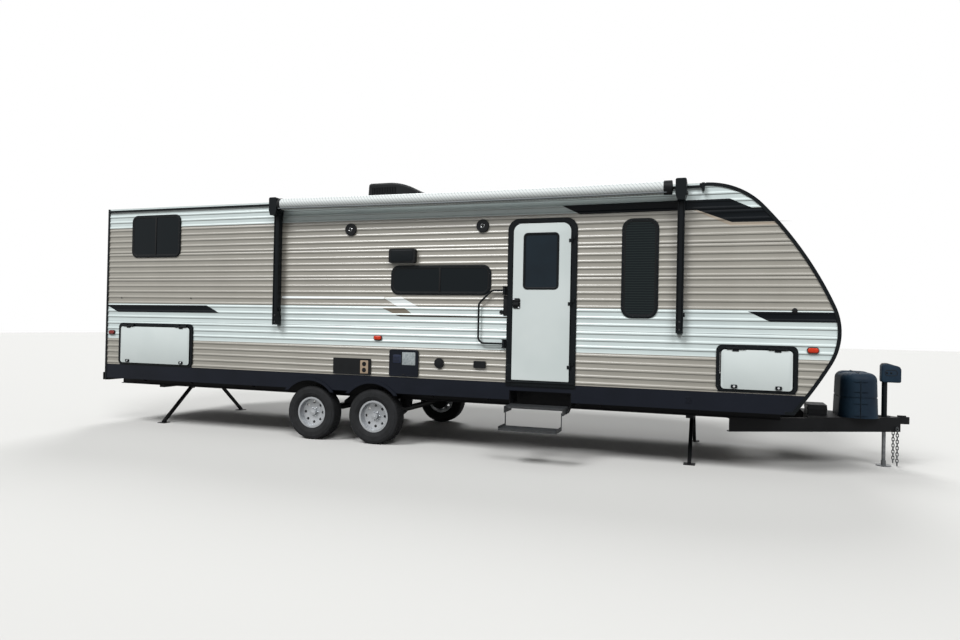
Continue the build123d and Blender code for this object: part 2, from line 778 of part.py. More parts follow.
# Floor
floor_y = half_width - skirt_t
with BuildPart() as floor:
    floor_outline = outline_between(everywhere_x, (floor_bottom_z, floor_z), front_wall_t + seat_gap)
    slab(1, -floor_y, floor_y, floor_outline)
    block((rear_x + skirt_t, nose_start_x), (-floor_y, floor_y), (floor_bottom_z, floor_z))
keep(floor, "floor")

# Side walls and their siding
for side_name, side in sides:
    with BuildPart() as side_wall:
        slab(side, wall_in, wall_out, wall_outline)
        cut_openings(side, wall_in - 1, wall_out + 1)
    keep(side_wall, side_name + "_wall")


def rib_points(top_z, bottom_z):
    """Heights down one siding panel, each with how far the sheet stands back from the ribs' crests."""
    crest_z = rib_upper_slope + rib_crest
    bends = ((0.0, rib_depth), (rib_upper_slope, 0.0), (crest_z, 0.0), (crest_z + rib_lower_slope, rib_depth))
    points = [(top_z, rib_depth)]
    start_z = top_z - rib_start
    while start_z > bottom_z:
        for drop, back in bends:
            last_z, last_back = points[-1]
            z = start_z - drop
            if z > bottom_z:
                points.append((z, back))
            elif last_z > bottom_z:
                share = (last_z - bottom_z) / (last_z - z)
                points.append((bottom_z, last_back + share * (back - last_back)))
        start_z -= rib_pitch
    if points[-1][0] > bottom_z:
        points.append((bottom_z, rib_depth))
    return points


def rib_outline():
    """The whole height of siding: (distance behind the crests, height), from the top panel to the floor."""
    outline = [(siding_t, panel_tops[0])]
    for top_z, bottom_z in zip(panel_tops, panel_tops[1:] + [floor_z]):
        outline += [(back, z) for z, back in rib_points(top_z, bottom_z)]
    return outline + [(siding_t, floor_z)]


ribs = rib_outline()
with BuildPart() as siding:
    for _, side in sides:
        with BuildPart(mode=Mode.PRIVATE) as side_sheet:
            with BuildSketch(Plane.YZ.offset(rear_x)):
                with BuildLine():
                    Polyline(*[(side * (half_width - back), z) for back, z in ribs], close=True)
                make_face()
            extrude(amount=-rear_x)
            slab(side, wall_out - 1, half_width + 1, wall_outline, Mode.INTERSECT)
            cut_openings(side, wall_out - 1, half_width + 1)
        add(side_sheet.part)
    with BuildPart(mode=Mode.PRIVATE) as rear_sheet:
        with BuildSketch(side_plane(1, -wall_in + seat_gap)):
            with BuildLine():
                Polyline(*[(rear_x + back, z) for back, z in ribs], close=True)
            make_face()
        extrude(amount=-2 * (wall_in - seat_gap))
        sheet_z = (floor_z, roof_z - seat_gap)
        block((rear_x - 1, rear_x + siding_t), (-wall_in, wall_in), sheet_z, Mode.INTERSECT)
    add(rear_sheet.part)
keep(siding, "siding")



def nose_place(run):
    """Point and heading (radians) on the nose outline, at a length along it from the roof's end."""
    x, z, heading = nose_start_x, roof_z, 0.0
    for arc_radius, arc_turn in nose_arcs:
        turn = min(run / arc_radius, radians(arc_turn))
        chord = 2 * arc_radius * sin(turn / 2)
        x += chord * cos(heading - turn / 2)
        z += chord * sin(heading - turn / 2)
        heading -= turn
        run -= turn * arc_radius
        if run <= 0:
            break
    return x, z, heading


nose_run = sum(arc_radius * radians(arc_turn) for arc_radius, arc_turn in nose_arcs)
nose_panel_count = 8
nose_steps = 40
nose_clear = 1000.0
below_floor_h = 600.0
nose_panel_l = nose_run / nose_panel_count
nose_ribs = []
for number in range(nose_panel_count):
    for z, back in rib_points(nose_panel_l, 0.0):
        place = (round(back, 3), round((number + 1) * nose_panel_l - z, 3))
        if place not in nose_ribs[-1:]:
            nose_ribs.append(place)

# Front wall, one curved shell from the roof to the tongue, ribbed across like the sides
with BuildPart() as front_wall:
    with BuildSketch(side_plane(1, wall_in)):
        add(outline_between((nose_start_x, 0.0), (skirt_bottom_z, roof_z)))
        add(outline_between(everywhere_x, (0.0, roof_z), front_wall_t), mode=Mode.SUBTRACT)
        with Locations((rear_x / 2, floor_z - below_floor_h / 2)):
            Rectangle(-rear_x - 2 * nose_clear, below_floor_h, mode=Mode.SUBTRACT)
        with BuildLine():
            ribbed = []
            outside = []
            for back, run in nose_ribs:
                x, z, heading = nose_place(run)
                ribbed.append((x + back * sin(heading), z - back * cos(heading)))
            for run in (0.0, *[place * nose_run / nose_steps for place in range(1, nose_steps)], nose_run):
                x, z, heading = nose_place(run)
                outside.append((x - siding_t * sin(heading), z + siding_t * cos(heading)))
            Polyline(*ribbed, *reversed(outside), close=True)
        make_face(mode=Mode.SUBTRACT)
    extrude(amount=2 * wall_in)
keep(front_wall, "front_wall")

# Rear wall and roof, between the side walls
with BuildPart() as rear_wall:
    block((rear_x + siding_t, rear_x + rear_wall_t), (-wall_in, wall_in), (floor_z, roof_z - roof_t))
keep(rear_wall, "rear_wall")

with BuildPart() as roof:
    roof_x = (rear_x + siding_t, nose_start_x)
    with BuildSketch(Plane.YZ.offset(roof_x[0])):
        with BuildLine():
            crown = ThreePointArc((-wall_in, roof_z), (0, roof_z + roof_crown), (wall_in, roof_z))
            Polyline(crown @ 1, (wall_in, roof_z - roof_t), (-wall_in, roof_z - roof_t), crown @ 0)
        make_face()
    extrude(amount=roof_x[1] - roof_x[0])
    for end_x, inwards in ((roof_x[0], 1), (roof_x[1], -1)):
        with BuildSketch(side_plane(1, wall_in)):
            with BuildLine():
                Polyline(
                    (end_x + inwards * roof_end_fall, roof_z + roof_crown),
                    (end_x, roof_z),
                    (end_x, roof_z + 2 * roof_crown),
                    (end_x + inwards * roof_end_fall, roof_z + 2 * roof_crown),
                    close=True,
                )
            make_face()
        extrude(amount=2 * wall_in, mode=Mode.SUBTRACT)
keep(roof, "roof")

# Panels that close the two luggage bays off from the cabin
bay_panel_t = 12.0
bay_top_z = 1450.0
front_bay_x = -1800.0
rear_bay_x = rear_x + 1580
with BuildPart() as luggage_bays:
    bay_y = wall_in - seat_gap
    block((front_bay_x - bay_panel_t, front_bay_x), (-bay_y, bay_y), (floor_z, bay_top_z))
    deck_z = (bay_top_z - bay_panel_t, bay_top_z)
    deck_outline = outline_between((front_bay_x, 0.0), deck_z, front_wall_t + seat_gap)
    slab(1, -bay_y, bay_y, deck_outline)
    block((rear_bay_x, rear_bay_x + bay_panel_t), (-bay_y, bay_y), (floor_z, bay_top_z))
    block((rear_x + rear_wall_t, rear_bay_x), (-bay_y, bay_y), deck_z)
keep(luggage_bays, "luggage_bays")

# Skirts along both sides, cut for the wheels and for the entry step
step_bay_x = (step_x - step_half_w - 2, step_x + step_half_w + 2)
with BuildPart() as skirts:
    for _, side in sides:
        slab(side, half_width - skirt_t, half_width, skirt_outline)
        for _, axle_x in axle_xs:
            with BuildSketch(side_plane(side, half_width)):
                with Locations((axle_x, tyre_r)):
                    Circle(arch_r + arch_lip_w)
            extrude(amount=-side * arch_lip_t)
            lip_x = grown((axle_x, axle_x), arch_r + arch_lip_w)
            lip_y = (side * half_width, side * (half_width + arch_lip_t))
            block(lip_x, lip_y, (tyre_r - arch_r - arch_lip_w, skirt_bottom_z), Mode.SUBTRACT)
        for _, axle_x in axle_xs:
            with BuildSketch(side_plane(side, half_width - 2 * skirt_t)):
                with Locations((axle_x, tyre_r)):
                    Circle(arch_r)
            extrude(amount=-side * (2 * skirt_t + 2 * arch_lip_t), mode=Mode.SUBTRACT)
        if side < 0:
            bay_z = (skirt_bottom_z - 1, floor_bottom_z)
            panel(side, half_width - 2 * skirt_t, half_width + 1, step_bay_x, bay_z, 0.0, Mode.SUBTRACT)
    rear_skirt_y = grown((-half_width, half_width), -2 * skirt_t)
    block((rear_x, rear_x + skirt_t), rear_skirt_y, (floor_bottom_z, floor_z))
keep(skirts, "skirts")

# Black trim along the nose and the rear corners, and the gutter rails with their spouts
trim_w = 30.0
trim_t = 4.0
gutter_z = (roof_z - 48, roof_z - 22)
gutter_out = 16.0
gutter_front_x = nose_start_x - 42
spout_out = 66.0
spout_l = 30.0
spout_z = (roof_z - 78, roof_z - 6)
with BuildPart() as body_trim:
    for _, side in sides:
        with BuildSketch(side_plane(side, wall_face)):
            add(outline_between((nose_start_x - 60, 0.0), (skirt_bottom_z, roof_z)))
            add(outline_between(everywhere_x, (0.0, roof_z), trim_w), mode=Mode.SUBTRACT)
            with Locations((rear_x / 2, floor_z - below_floor_h / 2)):
                Rectangle(-rear_x - 2 * (nose_clear + 100), below_floor_h, mode=Mode.SUBTRACT)
        extrude(amount=-side * trim_t)
        trim_y = (side * wall_face, side * (wall_face + trim_t))
        block((rear_x, rear_x + trim_w), trim_y, (skirt_bottom_z, roof_z))
        gutter_y = (side * wall_face, side * (wall_face + gutter_out))
        block((rear_x + trim_w + 1, gutter_front_x), gutter_y, gutter_z)
        spout_y = (side * wall_face, side * (wall_face + spout_out))
        block((gutter_front_x + 2, gutter_front_x + 2 + spout_l), spout_y, spout_z)
keep(body_trim, "body_trim")


def stepped_flange(side, x_pair, z_pair, corner, thickness):
    """A flange whose outer face stands on a wider, thinner one."""
    panel(side, wall_face, wall_face + thickness * 0.55, x_pair, z_pair, corner)
    inner_x = grown(x_pair, -flange_step)
    inner_z = grown(z_pair, -flange_step)
    panel(side, wall_face, wall_face + thickness, inner_x, inner_z, corner - flange_step)


def opening_frame(side, leaf_x, leaf_z, corner, margins, sleeve_low_z):
    """Flange and sleeve round a door: margins are side, top and bottom of the flange beyond the leaf."""
    flange_x = grown(leaf_x, margins[0])
    flange_z = (leaf_z[0] - margins[2], leaf_z[1] + margins[1])
    hole_x = grown(leaf_x, move_gap)
    hole_z = grown(leaf_z, move_gap)
    stepped_flange(side, flange_x, flange_z, corner + margins[0] / 2, flange_t)
    sleeve_x = grown(hole_x, sleeve_t - seat_gap)
    sleeve_z = (sleeve_low_z + seat_gap, hole_z[1] + sleeve_t - seat_gap)
    panel(side, wall_in, wall_face, sleeve_x, sleeve_z)
    panel(side, wall_in - 1, wall_face + flange_t + 1, hole_x, hole_z, corner + move_gap, Mode.SUBTRACT)


# Entry door frame with its half of the hinges
hinge_axis_x = door_x[1] + 9
hinge_axis_out = half_width + hinge_out
hinge_l = 36.0
hinge_strap_l = 34.0
with BuildPart() as entry_door_frame:
    door_margins = (door_flange_side, door_flange_top, door_flange_bottom)
    opening_frame(-1, door_x, door_z, door_corner_r, door_margins, floor_z)
    for hinge_z in door_hinge_zs:
        knuckle_z = (hinge_z, hinge_z + hinge_l)
        knuckle_ends = [(hinge_axis_x, -hinge_axis_out, z) for z in knuckle_z]
        rod(knuckle_ends[0], knuckle_ends[1], hinge_r)
        strap_y = (-hinge_axis_out + 4, -half_width - flange_t)
        block((hinge_axis_x, hinge_axis_x + hinge_strap_l), strap_y, knuckle_z)
keep(entry_door_frame, "entry_door_frame")

# Entry door leaf, its glass and its latch
door_outer = half_width + door_proud
door_inner = door_outer - door_t
with BuildPart() as entry_door:
    panel(-1, door_inner, door_outer, door_x, door_z, door_corner_r)
    panel(-1, door_inner - 1, door_outer + 1, door_window_x, door_window_z, door_window_r, Mode.SUBTRACT)
    for hinge_z in door_hinge_zs:
        knuckle_z = (hinge_z - seat_gap - hinge_l, hinge_z - seat_gap)
        knuckle_ends = [(hinge_axis_x, -hinge_axis_out, z) for z in knuckle_z]
        rod(knuckle_ends[0], knuckle_ends[1], hinge_r)
        strap_y = (-hinge_axis_out + 4, -door_outer)
        block((hinge_axis_x - hinge_strap_l, hinge_axis_x), strap_y, knuckle_z)
keep(entry_door, "entry_door")

with BuildPart() as entry_door_glass:
    pane_x = grown(door_window_x, -seat_gap)
    pane_z = grown(door_window_z, -seat_gap)
    panel(-1, door_outer - 8, door_outer - 2, pane_x, pane_z, door_window_r - seat_gap)
keep(entry_door_glass, "entry_door_glass")

latch_x = (-3883.0, -3799.0)
latch_z = (1641.0, 1754.0)
with BuildPart() as entry_door_latch:
    panel(-1, door_outer + seat_gap, door_outer + 10, latch_x, latch_z, 12)
    panel(-1, door_outer + 10, door_outer + 38, grown(latch_x, -14), (latch_z[0] + 30, latch_z[0] + 62), 8)
keep(entry_door_latch, "entry_door_latch")

# Hinges along the top of the baggage doors, and their latches along the bottom
baggage_knuckle_l = 60.0
hinge_rise = 9.0
baggage_latch_in = 130.0
baggage_latch_half = 30.0
baggage_latch_zs = (15.0, 50.0)
baggage_latch_t = 12.0


def baggage_knuckles(x_low, x_high):
    """Where the door's own knuckles start."""
    return (x_low + 110.0, x_high - 110.0 - baggage_knuckle_l)


def hinge_half(side, start_x, axis_z, root_out, upwards):
    """One knuckle with the plate that fastens it, above or below the hinge axis."""
    end_x = start_x + baggage_knuckle_l
    rod((start_x, side * hinge_axis_out, axis_z), (end_x, side * hinge_axis_out, axis_z), hinge_r)
    plate_z = (axis_z, axis_z + upwards * 30)
    block((start_x, end_x), (side * root_out, side * (hinge_axis_out - 4)), plate_z)


# Frames of the baggage doors
baggage_margins = (baggage_flange, baggage_flange, baggage_flange_bottom)
with BuildPart() as baggage_door_frames:
    for _, side, x_low, x_high, z_low, z_high in baggage_doors:
        leaf_x = (x_low, x_high)
        leaf_z = (z_low, z_high)
        opening_frame(side, leaf_x, leaf_z, baggage_corner_r, baggage_margins, opening_low(z_low))
        for knuckle_x in baggage_knuckles(x_low, x_high):
            beside = baggage_knuckle_l + seat_gap
            for start_x in (knuckle_x - beside, knuckle_x + beside):
                hinge_half(side, start_x, z_high + hinge_rise, half_width + flange_t, 1)
keep(baggage_door_frames, "baggage_door_frames")

# Baggage doors, hinged along their top edge
for door_name, side, x_low, x_high, z_low, z_high in baggage_doors:
    with BuildPart() as baggage_door:
        leaf_outs = (half_width + door_proud - door_t, half_width + door_proud)
        panel(side, leaf_outs[0], leaf_outs[1], (x_low, x_high), (z_low, z_high), baggage_corner_r)
        for knuckle_x in baggage_knuckles(x_low, x_high):
            hinge_half(side, knuckle_x, z_high + hinge_rise, half_width + door_proud, -1)
        for latch_mid in (x_low + baggage_latch_in, x_high - baggage_latch_in):
            latch_outs = (half_width + door_proud, half_width + door_proud + baggage_latch_t)
            latch_across = grown((latch_mid, latch_mid), baggage_latch_half)
            latch_up = (z_low + baggage_latch_zs[0], z_low + baggage_latch_zs[1])
            panel(side, latch_outs[0], latch_outs[1], latch_across, latch_up, 8)
    keep(baggage_door, door_name)

# Window frames and panes
with BuildPart() as window_frames:
    for side, x_low, x_high, z_low, z_high, corner in windows:
        stepped_flange(side, (x_low, x_high), (z_low, z_high), corner, window_flange_t)
        sleeve_x = grown((x_low, x_high), -window_lap - seat_gap)
        sleeve_z = grown((z_low, z_high), -window_lap - seat_gap)
        panel(side, wall_in, wall_face, sleeve_x, sleeve_z, corner - window_lap)
        glass_x = grown((x_low, x_high), -window_flange_w)
        glass_z = grown((z_low, z_high), -window_flange_w)
        through = (wall_in - 1, wall_face + window_flange_t + 1)
        panel(side, through[0], through[1], glass_x, glass_z, corner - window_flange_w, Mode.SUBTRACT)
keep(window_frames, "window_frames")

with BuildPart() as window_glass:
    for side, x_low, x_high, z_low, z_high, corner in windows:
        glass_x = grown((x_low, x_high), -window_flange_w - seat_gap)
        glass_z = grown((z_low, z_high), -window_flange_w - seat_gap)
        panel(side, half_width, half_width + pane_t, glass_x, glass_z, corner - window_flange_w)
keep(window_glass, "window_glass")

# Folding grab rail with its two knuckles
grab_out = half_width + grab_axis_out
with BuildPart() as grab_rail:
    with BuildLine(side_plane(-1, grab_out)) as grab_path:
        FilletPolyline(
            (grab_axis_x, grab_top_z),
            (grab_chamfer_x, grab_top_z),
            (grab_reach_x, grab_chamfer_z),
            (grab_reach_x, grab_bottom_z),
            (grab_axis_x, grab_bottom_z),
            radius=grab_corner_r,
        )
    with BuildSketch(Plane(origin=grab_path.line @ 0, z_dir=grab_path.line % 0)):
        Circle(grab_r)
    sweep()
    for knuckle_z in (grab_top_z, grab_bottom_z):
        with Locations((grab_axis_x, -grab_out, knuckle_z)):
            Cylinder(grab_r + 3, grab_knuckle_h)
    for knuckle_z in (grab_top_z, grab_bottom_z):
        with Locations((grab_axis_x, -grab_out, knuckle_z)):
            Cylinder(grab_pin_r + pin_gap, grab_knuckle_h + 2, mode=Mode.SUBTRACT)
keep(grab_rail, "grab_rail")

# Hatches, vents, socket box and porch light: side, x low, x high, z low, z high, corner, height off the wall
square_fittings = [
    (-1, -5383.0, -5012.0, 832.0, 1146.0, 30.0, 14.0),
    (-1, -6133.0, -5628.0, 830.0, 1023.0, 12.0, 12.0),
    (-1, -4330.0, -4192.0, 966.0, 1044.0, 8.0, 24.0),
    (-1, -5395.0, -5061.0, 2156.0, 2319.0, 20.0, 60.0),
    (1, -4100.0, -3500.0, 860.0, 1180.0, 20.0, 14.0),
    (1, -4100.0, -3500.0, 1900.0, 2180.0, 20.0, 14.0),
    (1, rear_x + 1810, rear_x + 2260, 900.0, 1350.0, 20.0, 14.0),
    (1, rear_x + 360, rear_x + 490, 1000.0, 1130.0, 20.0, 18.0),
]

# Round ports and speakers: side, x, z, radius, height off the wall
round_fittings = [
    (-1, -4754.0, 1003.0, 58.0, 16.0),
    (-1, -4019.0, 1599.0, 22.0, 8.0),
    (-1, -5931.0, 2567.0, 74.0, 14.0),
    (-1, -4256.0, 2567.0, 74.0, 14.0),
]
bracket_plate_t = 8.0
bracket_plate_half = 22.0
bracket_ear_half = 16.0
bracket_ear_t = 9.0
with BuildPart() as wall_fittings:
    for side, x_low, x_high, z_low, z_high, corner, height in square_fittings:
        panel(side, wall_face, wall_face + height, (x_low, x_high), (z_low, z_high), corner)
    for side, x_mid, z_mid, radius, height in round_fittings:
        rod((x_mid, side * wall_face, z_mid), (x_mid, side * (wall_face + height), z_mid), radius)
    for knuckle_z in (grab_top_z, grab_bottom_z):
        gap_z = (knuckle_z - grab_knuckle_h / 2 - move_gap, knuckle_z + grab_knuckle_h / 2 + move_gap)
        plate_x = (grab_axis_x - bracket_plate_half, grab_axis_x + bracket_plate_half)
        block(plate_x, (-wall_face, -wall_face - bracket_plate_t), grown(gap_z, bracket_ear_t))
        ear_x = (grab_axis_x - bracket_ear_half, grab_axis_x + bracket_ear_half)
        for ear_z in ((gap_z[0] - bracket_ear_t, gap_z[0]), (gap_z[1], gap_z[1] + bracket_ear_t)):
            block(ear_x, (-wall_face, -grab_out - bracket_ear_half), ear_z)
        rod((grab_axis_x, -grab_out, gap_z[0]), (grab_axis_x, -grab_out, gap_z[1]), grab_pin_r)
keep(wall_fittings, "wall_fittings")

# Marker lamps on the sides, and the tail lamps
side_lamps = [(-856.0, 1265.0), (-5543.0, 1275.0), (rear_x + 112, 1254.0)]
side_lamp_l = 108.0
side_lamp_h = 60.0
side_lamp_t = 24.0
side_lamp_corner_r = 24.0
tail_lamp_ys = (half_width - 319, half_width - 99)
tail_lamp_z = (1000.0, 1180.0)
tail_lamp_t = 46.0
with BuildPart() as lamps:
    for _, side in sides:
        for lamp_x, lamp_z in side_lamps:
            lamp_across = grown((lamp_x, lamp_x), side_lamp_l / 2)
            lamp_up = grown((lamp_z, lamp_z), side_lamp_h / 2)
            panel(side, wall_face, wall_face + side_lamp_t, lamp_across, lamp_up, side_lamp_corner_r)
        tail_lamp_y = (side * tail_lamp_ys[0], side * tail_lamp_ys[1])
        block((rear_x - tail_lamp_t, rear_x - seat_gap), tail_lamp_y, tail_lamp_z)
keep(lamps, "lamps")

# Awning: roller in its cover, end caps and shaft, and the two arms on the wall
roller_cap_rise = 4.0
roller_shaft_r = 12.0
with BuildPart() as awning_roller:
    rod((roller_x[0], -roller_out, roller_z), (roller_x[1], -roller_out, roller_z), roller_r)
    for cap_x, outward, cap_l in ((roller_x[0], -1, cap_ls[0]), (roller_x[1], 1, cap_ls[1])):
        cap_ends = [(x, -roller_out, roller_z) for x in (cap_x, cap_x + outward * cap_l)]
        rod(cap_ends[0], cap_ends[1], roller_r + roller_cap_rise)
    inner_faces = (arm_xs[0] + arm_head_w / 2 + seat_gap, arm_xs[1] - arm_head_w / 2 - seat_gap)
    shaft_ends = [(x, -roller_out, roller_z) for x in inner_faces]
    rod(shaft_ends[0], shaft_ends[1], roller_shaft_r)
keep(awning_roller, "awning_roller")

# Each arm is a channel on two feet, with a narrower arm folded into its groove and a knob low down
with BuildPart() as awning_arms:
    for arm_x in arm_xs:
        across = grown((arm_x, arm_x), arm_w / 2)
        block(across, (-arm_out[0], -arm_out[1]), arm_z)
        groove_x = grown((arm_x, arm_x), arm_groove_w / 2)
        neck_z = arm_head_z[0] - arm_head_taper
        groove_z = (arm_z[0] + 30, neck_z)
        block(groove_x, (-arm_out[1] + arm_groove_t, -arm_out[1] - 1), groove_z, Mode.SUBTRACT)
        inner_x = grown((arm_x, arm_x), arm_inner_w / 2)
        inner_y = (-arm_out[1] + arm_groove_t + 1, -arm_out[1] + 5)
        block(inner_x, inner_y, (groove_z[0] + 20, neck_z + 1))
        with BuildPart(mode=Mode.PRIVATE) as arm_head:
            with BuildSketch(side_plane(-1, arm_out[0])):
                with BuildLine():
                    head_x = grown((arm_x, arm_x), arm_head_w / 2)
                    Polyline(
                        (across[0], neck_z),
                        (head_x[0], arm_head_z[0]),
                        (head_x[0], arm_head_z[1]),
                        (head_x[1], arm_head_z[1]),
                        (head_x[1], arm_head_z[0]),
                        (across[1], neck_z),
                        close=True,
                    )
                make_face()
            extrude(amount=arm_head_out - arm_out[0])
            fillet(arm_head.faces().sort_by(Axis.Z)[-1].edges().filter_by(Axis.Y), arm_head_r)
        add(arm_head.part)
        for foot_z in ((arm_z[0], arm_z[0] + arm_foot_h), (arm_z[1] - arm_foot_h, arm_z[1])):
            block(grown(across, arm_foot_side), (-wall_face, -arm_out[0]), foot_z)
        knob_out = (arm_out[0] + arm_out[1]) / 2
        knob_z = arm_z[0] + arm_knob_rise
        rod((across[1] - 1, -knob_out, knob_z), (across[1] + arm_knob_l, -knob_out, knob_z), arm_knob_r)
keep(awning_arms, "awning_arms")



def clear_of_roof(x_pair):
    """Cut away what would stand in the crowned roof, with a clearance, from the part being built."""
    with BuildSketch(Plane.YZ.offset(x_pair[0])) as under_roof:
        with BuildLine():
            edge_z = roof_z + seat_gap
            crown = ThreePointArc((-wall_in, edge_z), (0, edge_z + roof_crown), (wall_in, edge_z))
            Polyline(crown @ 1, (wall_in, roof_z - roof_t), (-wall_in, roof_z - roof_t), crown @ 0)
        make_face()
    extrude(under_roof.sketch, amount=x_pair[1] - x_pair[0], mode=Mode.SUBTRACT)


# Air conditioner shroud on the roof: a long hood that falls away at the front, with louvres at the back
ac_top_z = roof_z + ac_h
ac_nose_z = roof_z + ac_nose_h
with BuildPart() as air_conditioner:
    with BuildSketch(side_plane(1, ac_half_w)):
        with BuildLine():
            hood = Polyline(
                (ac_x[1] - ac_end_lean, ac_nose_z),
                (ac_x[1], roof_z),
                (ac_x[0], roof_z),
                (ac_x[0] + ac_end_lean, ac_top_z),
                (ac_flat_x, ac_top_z),
            )
            TangentArc(hood @ 1, hood @ 0, tangent=(1, 0))
        make_face()
    extrude(amount=2 * ac_half_w)
    back_edge = air_conditioner.edges().filter_by(Axis.Y).group_by(Axis.Z)[-1].sort_by(Axis.X)[0]
    fillet(back_edge, ac_corner_r)
    hood_sides = air_conditioner.faces().sort_by(Axis.Y)
    rim_edges = hood_sides[0].edges() + hood_sides[-1].edges()
    fillet([edge for edge in rim_edges if edge.center().Z > roof_z + ac_nose_h * 0.8], ac_rim_r)
    for side in (-1, 1):
        for number in range(louvre_count):
            louvre_x = ac_x[0] + louvre_in + number * louvre_pitch
            louvre_y = (side * (ac_half_w - louvre_t), side * (ac_half_w + 1))
            louvre_z = (roof_z + louvre_rise, roof_z + louvre_rise + louvre_h)
            block((louvre_x, louvre_x + louvre_w), louvre_y, louvre_z, Mode.SUBTRACT)
    clear_of_roof((ac_x[0] - 10, ac_x[1] + 10))
keep(air_conditioner, "air_conditioner")

# Roof vents: a flanged base and an overhanging lid, at the x of each lid's middle
roof_vent_xs = [-3000.0, rear_x + 1410]
vent_base_half = 210.0
vent_lid_half = 230.0
vent_base_h = 30.0
vent_lid_h = 38.0
vent_low_z = roof_z + roof_crown - vent_base_h
with BuildPart() as roof_vents:
    for vent_x in roof_vent_xs:
        with BuildSketch(Plane.XY.offset(vent_low_z)):
            with Locations((vent_x, 0)):
                RectangleRounded(2 * vent_base_half, 2 * vent_base_half, 20)
        extrude(amount=2 * vent_base_h)
        with BuildSketch(Plane.XY.offset(vent_low_z + 2 * vent_base_h)):
            with Locations((vent_x, 0)):
                RectangleRounded(2 * vent_lid_half, 2 * vent_lid_half, 40)
        extrude(amount=vent_lid_h, taper=12)
        clear_of_roof(grown((vent_x, vent_x), vent_lid_half))
keep(roof_vents, "roof_vents")

# Entry step: frame plates under the floor, four links and two treads
link_fall = radians(step_link_fall)
pivot_outs = (step_pivot_out, step_pivot_out - step_pivot_gap)
link_end_z = step_pivot_z - step_link * sin(link_fall)
link_ends = [(out + step_link * cos(link_fall), link_end_z) for out in pivot_outs]
plate_in = rail_y + rail_flange_w / 2 + 14
plate_out = half_width - skirt_t - 6
step_pin_r = 8.0
step_pin_reach = 7.7
link_pin_reach = 5.7
tread_side_t = 6.0
step_bar_h = 30.0
step_bar_w = 25.0
with BuildPart() as step_frame:
    for end in (-1, 1):
        plate_x = (step_x + end * (step_half_w - step_plate_t), step_x + end * step_half_w)
        block(plate_x, (-plate_in, -plate_out), (step_pivot_z - 30, floor_bottom_z - seat_gap))
        for out in pivot_outs:
            pin_x = step_x + end * (step_half_w - step_plate_t)
            pin_end_x = pin_x - end * step_pin_reach
            rod((pin_x, -out, step_pivot_z), (pin_end_x, -out, step_pivot_z), step_pin_r)
    bar_z = (floor_bottom_z - step_bar_h, floor_bottom_z - seat_gap)
    block((step_x - step_half_w, step_x + step_half_w), (-plate_in, -plate_in - step_bar_w), bar_z)
keep(step_frame, "step_frame")

for link_name, out, link_end in zip(("step_links_outer", "step_links_inner"), pivot_outs, link_ends):
    with BuildPart() as step_links:
        for end in (-1, 1):
            inner_x = step_x + end * (step_half_w - step_plate_t - 14)
            link_plane = Plane(
                origin=(inner_x, -(out + link_end[0]) / 2, (step_pivot_z + link_end[1]) / 2),
                x_dir=(0, -cos(link_fall), -sin(link_fall)),
                z_dir=(end, 0, 0),
            )
            with BuildSketch(link_plane):
                SlotCenterToCenter(step_link, step_link_w)
            extrude(amount=step_link_t)
            pin_ends = [(x, -link_end[0], link_end[1]) for x in (inner_x, inner_x - end * link_pin_reach)]
            rod(pin_ends[0], pin_ends[1], step_pin_r)
    keep(step_links, link_name)

tread_half = step_half_w - step_plate_t - 20
with BuildPart() as step_upper:
    tread_y = (-tread_outs[0], -tread_outs[1])
    block((step_x - tread_half, step_x + tread_half), tread_y, (tread_top_z - tread_t, tread_top_z))
    for end in (-1, 1):
        side_x = (step_x + end * (tread_half - tread_side_t), step_x + end * tread_half)
        block(side_x, (-tread_outs[0], -lower_pivot[0] - 14), (link_ends[0][1] - 14, tread_top_z))
        pin_x = step_x + end * (tread_half - tread_side_t)
        pin_ends = [(x, -lower_pivot[0], lower_pivot[1]) for x in (pin_x, pin_x - end * link_pin_reach)]
        rod(pin_ends[0], pin_ends[1], step_pin_r - 1)
keep(step_upper, "step_upper")

with BuildPart() as step_lower:
    lower_half = tread_half - 12
    lower_tread_y = (-lower_tread_outs[0], -lower_tread_outs[1])
    block((step_x - lower_half, step_x + lower_half), lower_tread_y, lower_tread_zs)
    for end in (-1, 1):
        side_x = (step_x + end * (lower_half - tread_side_t), step_x + end * lower_half)
        block(side_x, (-lower_pivot[0] + 12, -lower_pivot[0] - 12), (lower_tread_zs[0], lower_pivot[1] + 12))
        block(side_x, (-lower_pivot[0], -lower_tread_outs[1]), (lower_tread_zs[0], lower_tread_zs[1] + 20))
keep(step_lower, "step_lower")

# Stabilisers: beams under the rails and the four swinging legs
with BuildPart() as stabiliser_beams:
    for _, beam_x in stabiliser_xs:
        beam_z = (rail_bottom_z - beam_h, rail_bottom_z - seat_gap)
        block(grown((beam_x, beam_x), beam_w / 2), (-beam_half, beam_half), beam_z)
        for _, side in sides:
            ear_y = (side * (leg_pivot_y - 30), side * (leg_pivot_y + 30))
            ear_inner = leg_w / 2 + move_gap
            for end in (-1, 1):
                ear_x = (beam_x + end * ear_inner, beam_x + end * (ear_inner + leg_ear_t))
                block(ear_x, ear_y, (leg_pivot_z - 25, beam_z[0]))
            pin_ends = [(beam_x + end * ear_inner, side * leg_pivot_y, leg_pivot_z) for end in (-1, 1)]
            rod(pin_ends[0], pin_ends[1], leg_pin_r)
keep(stabiliser_beams, "stabiliser_beams")

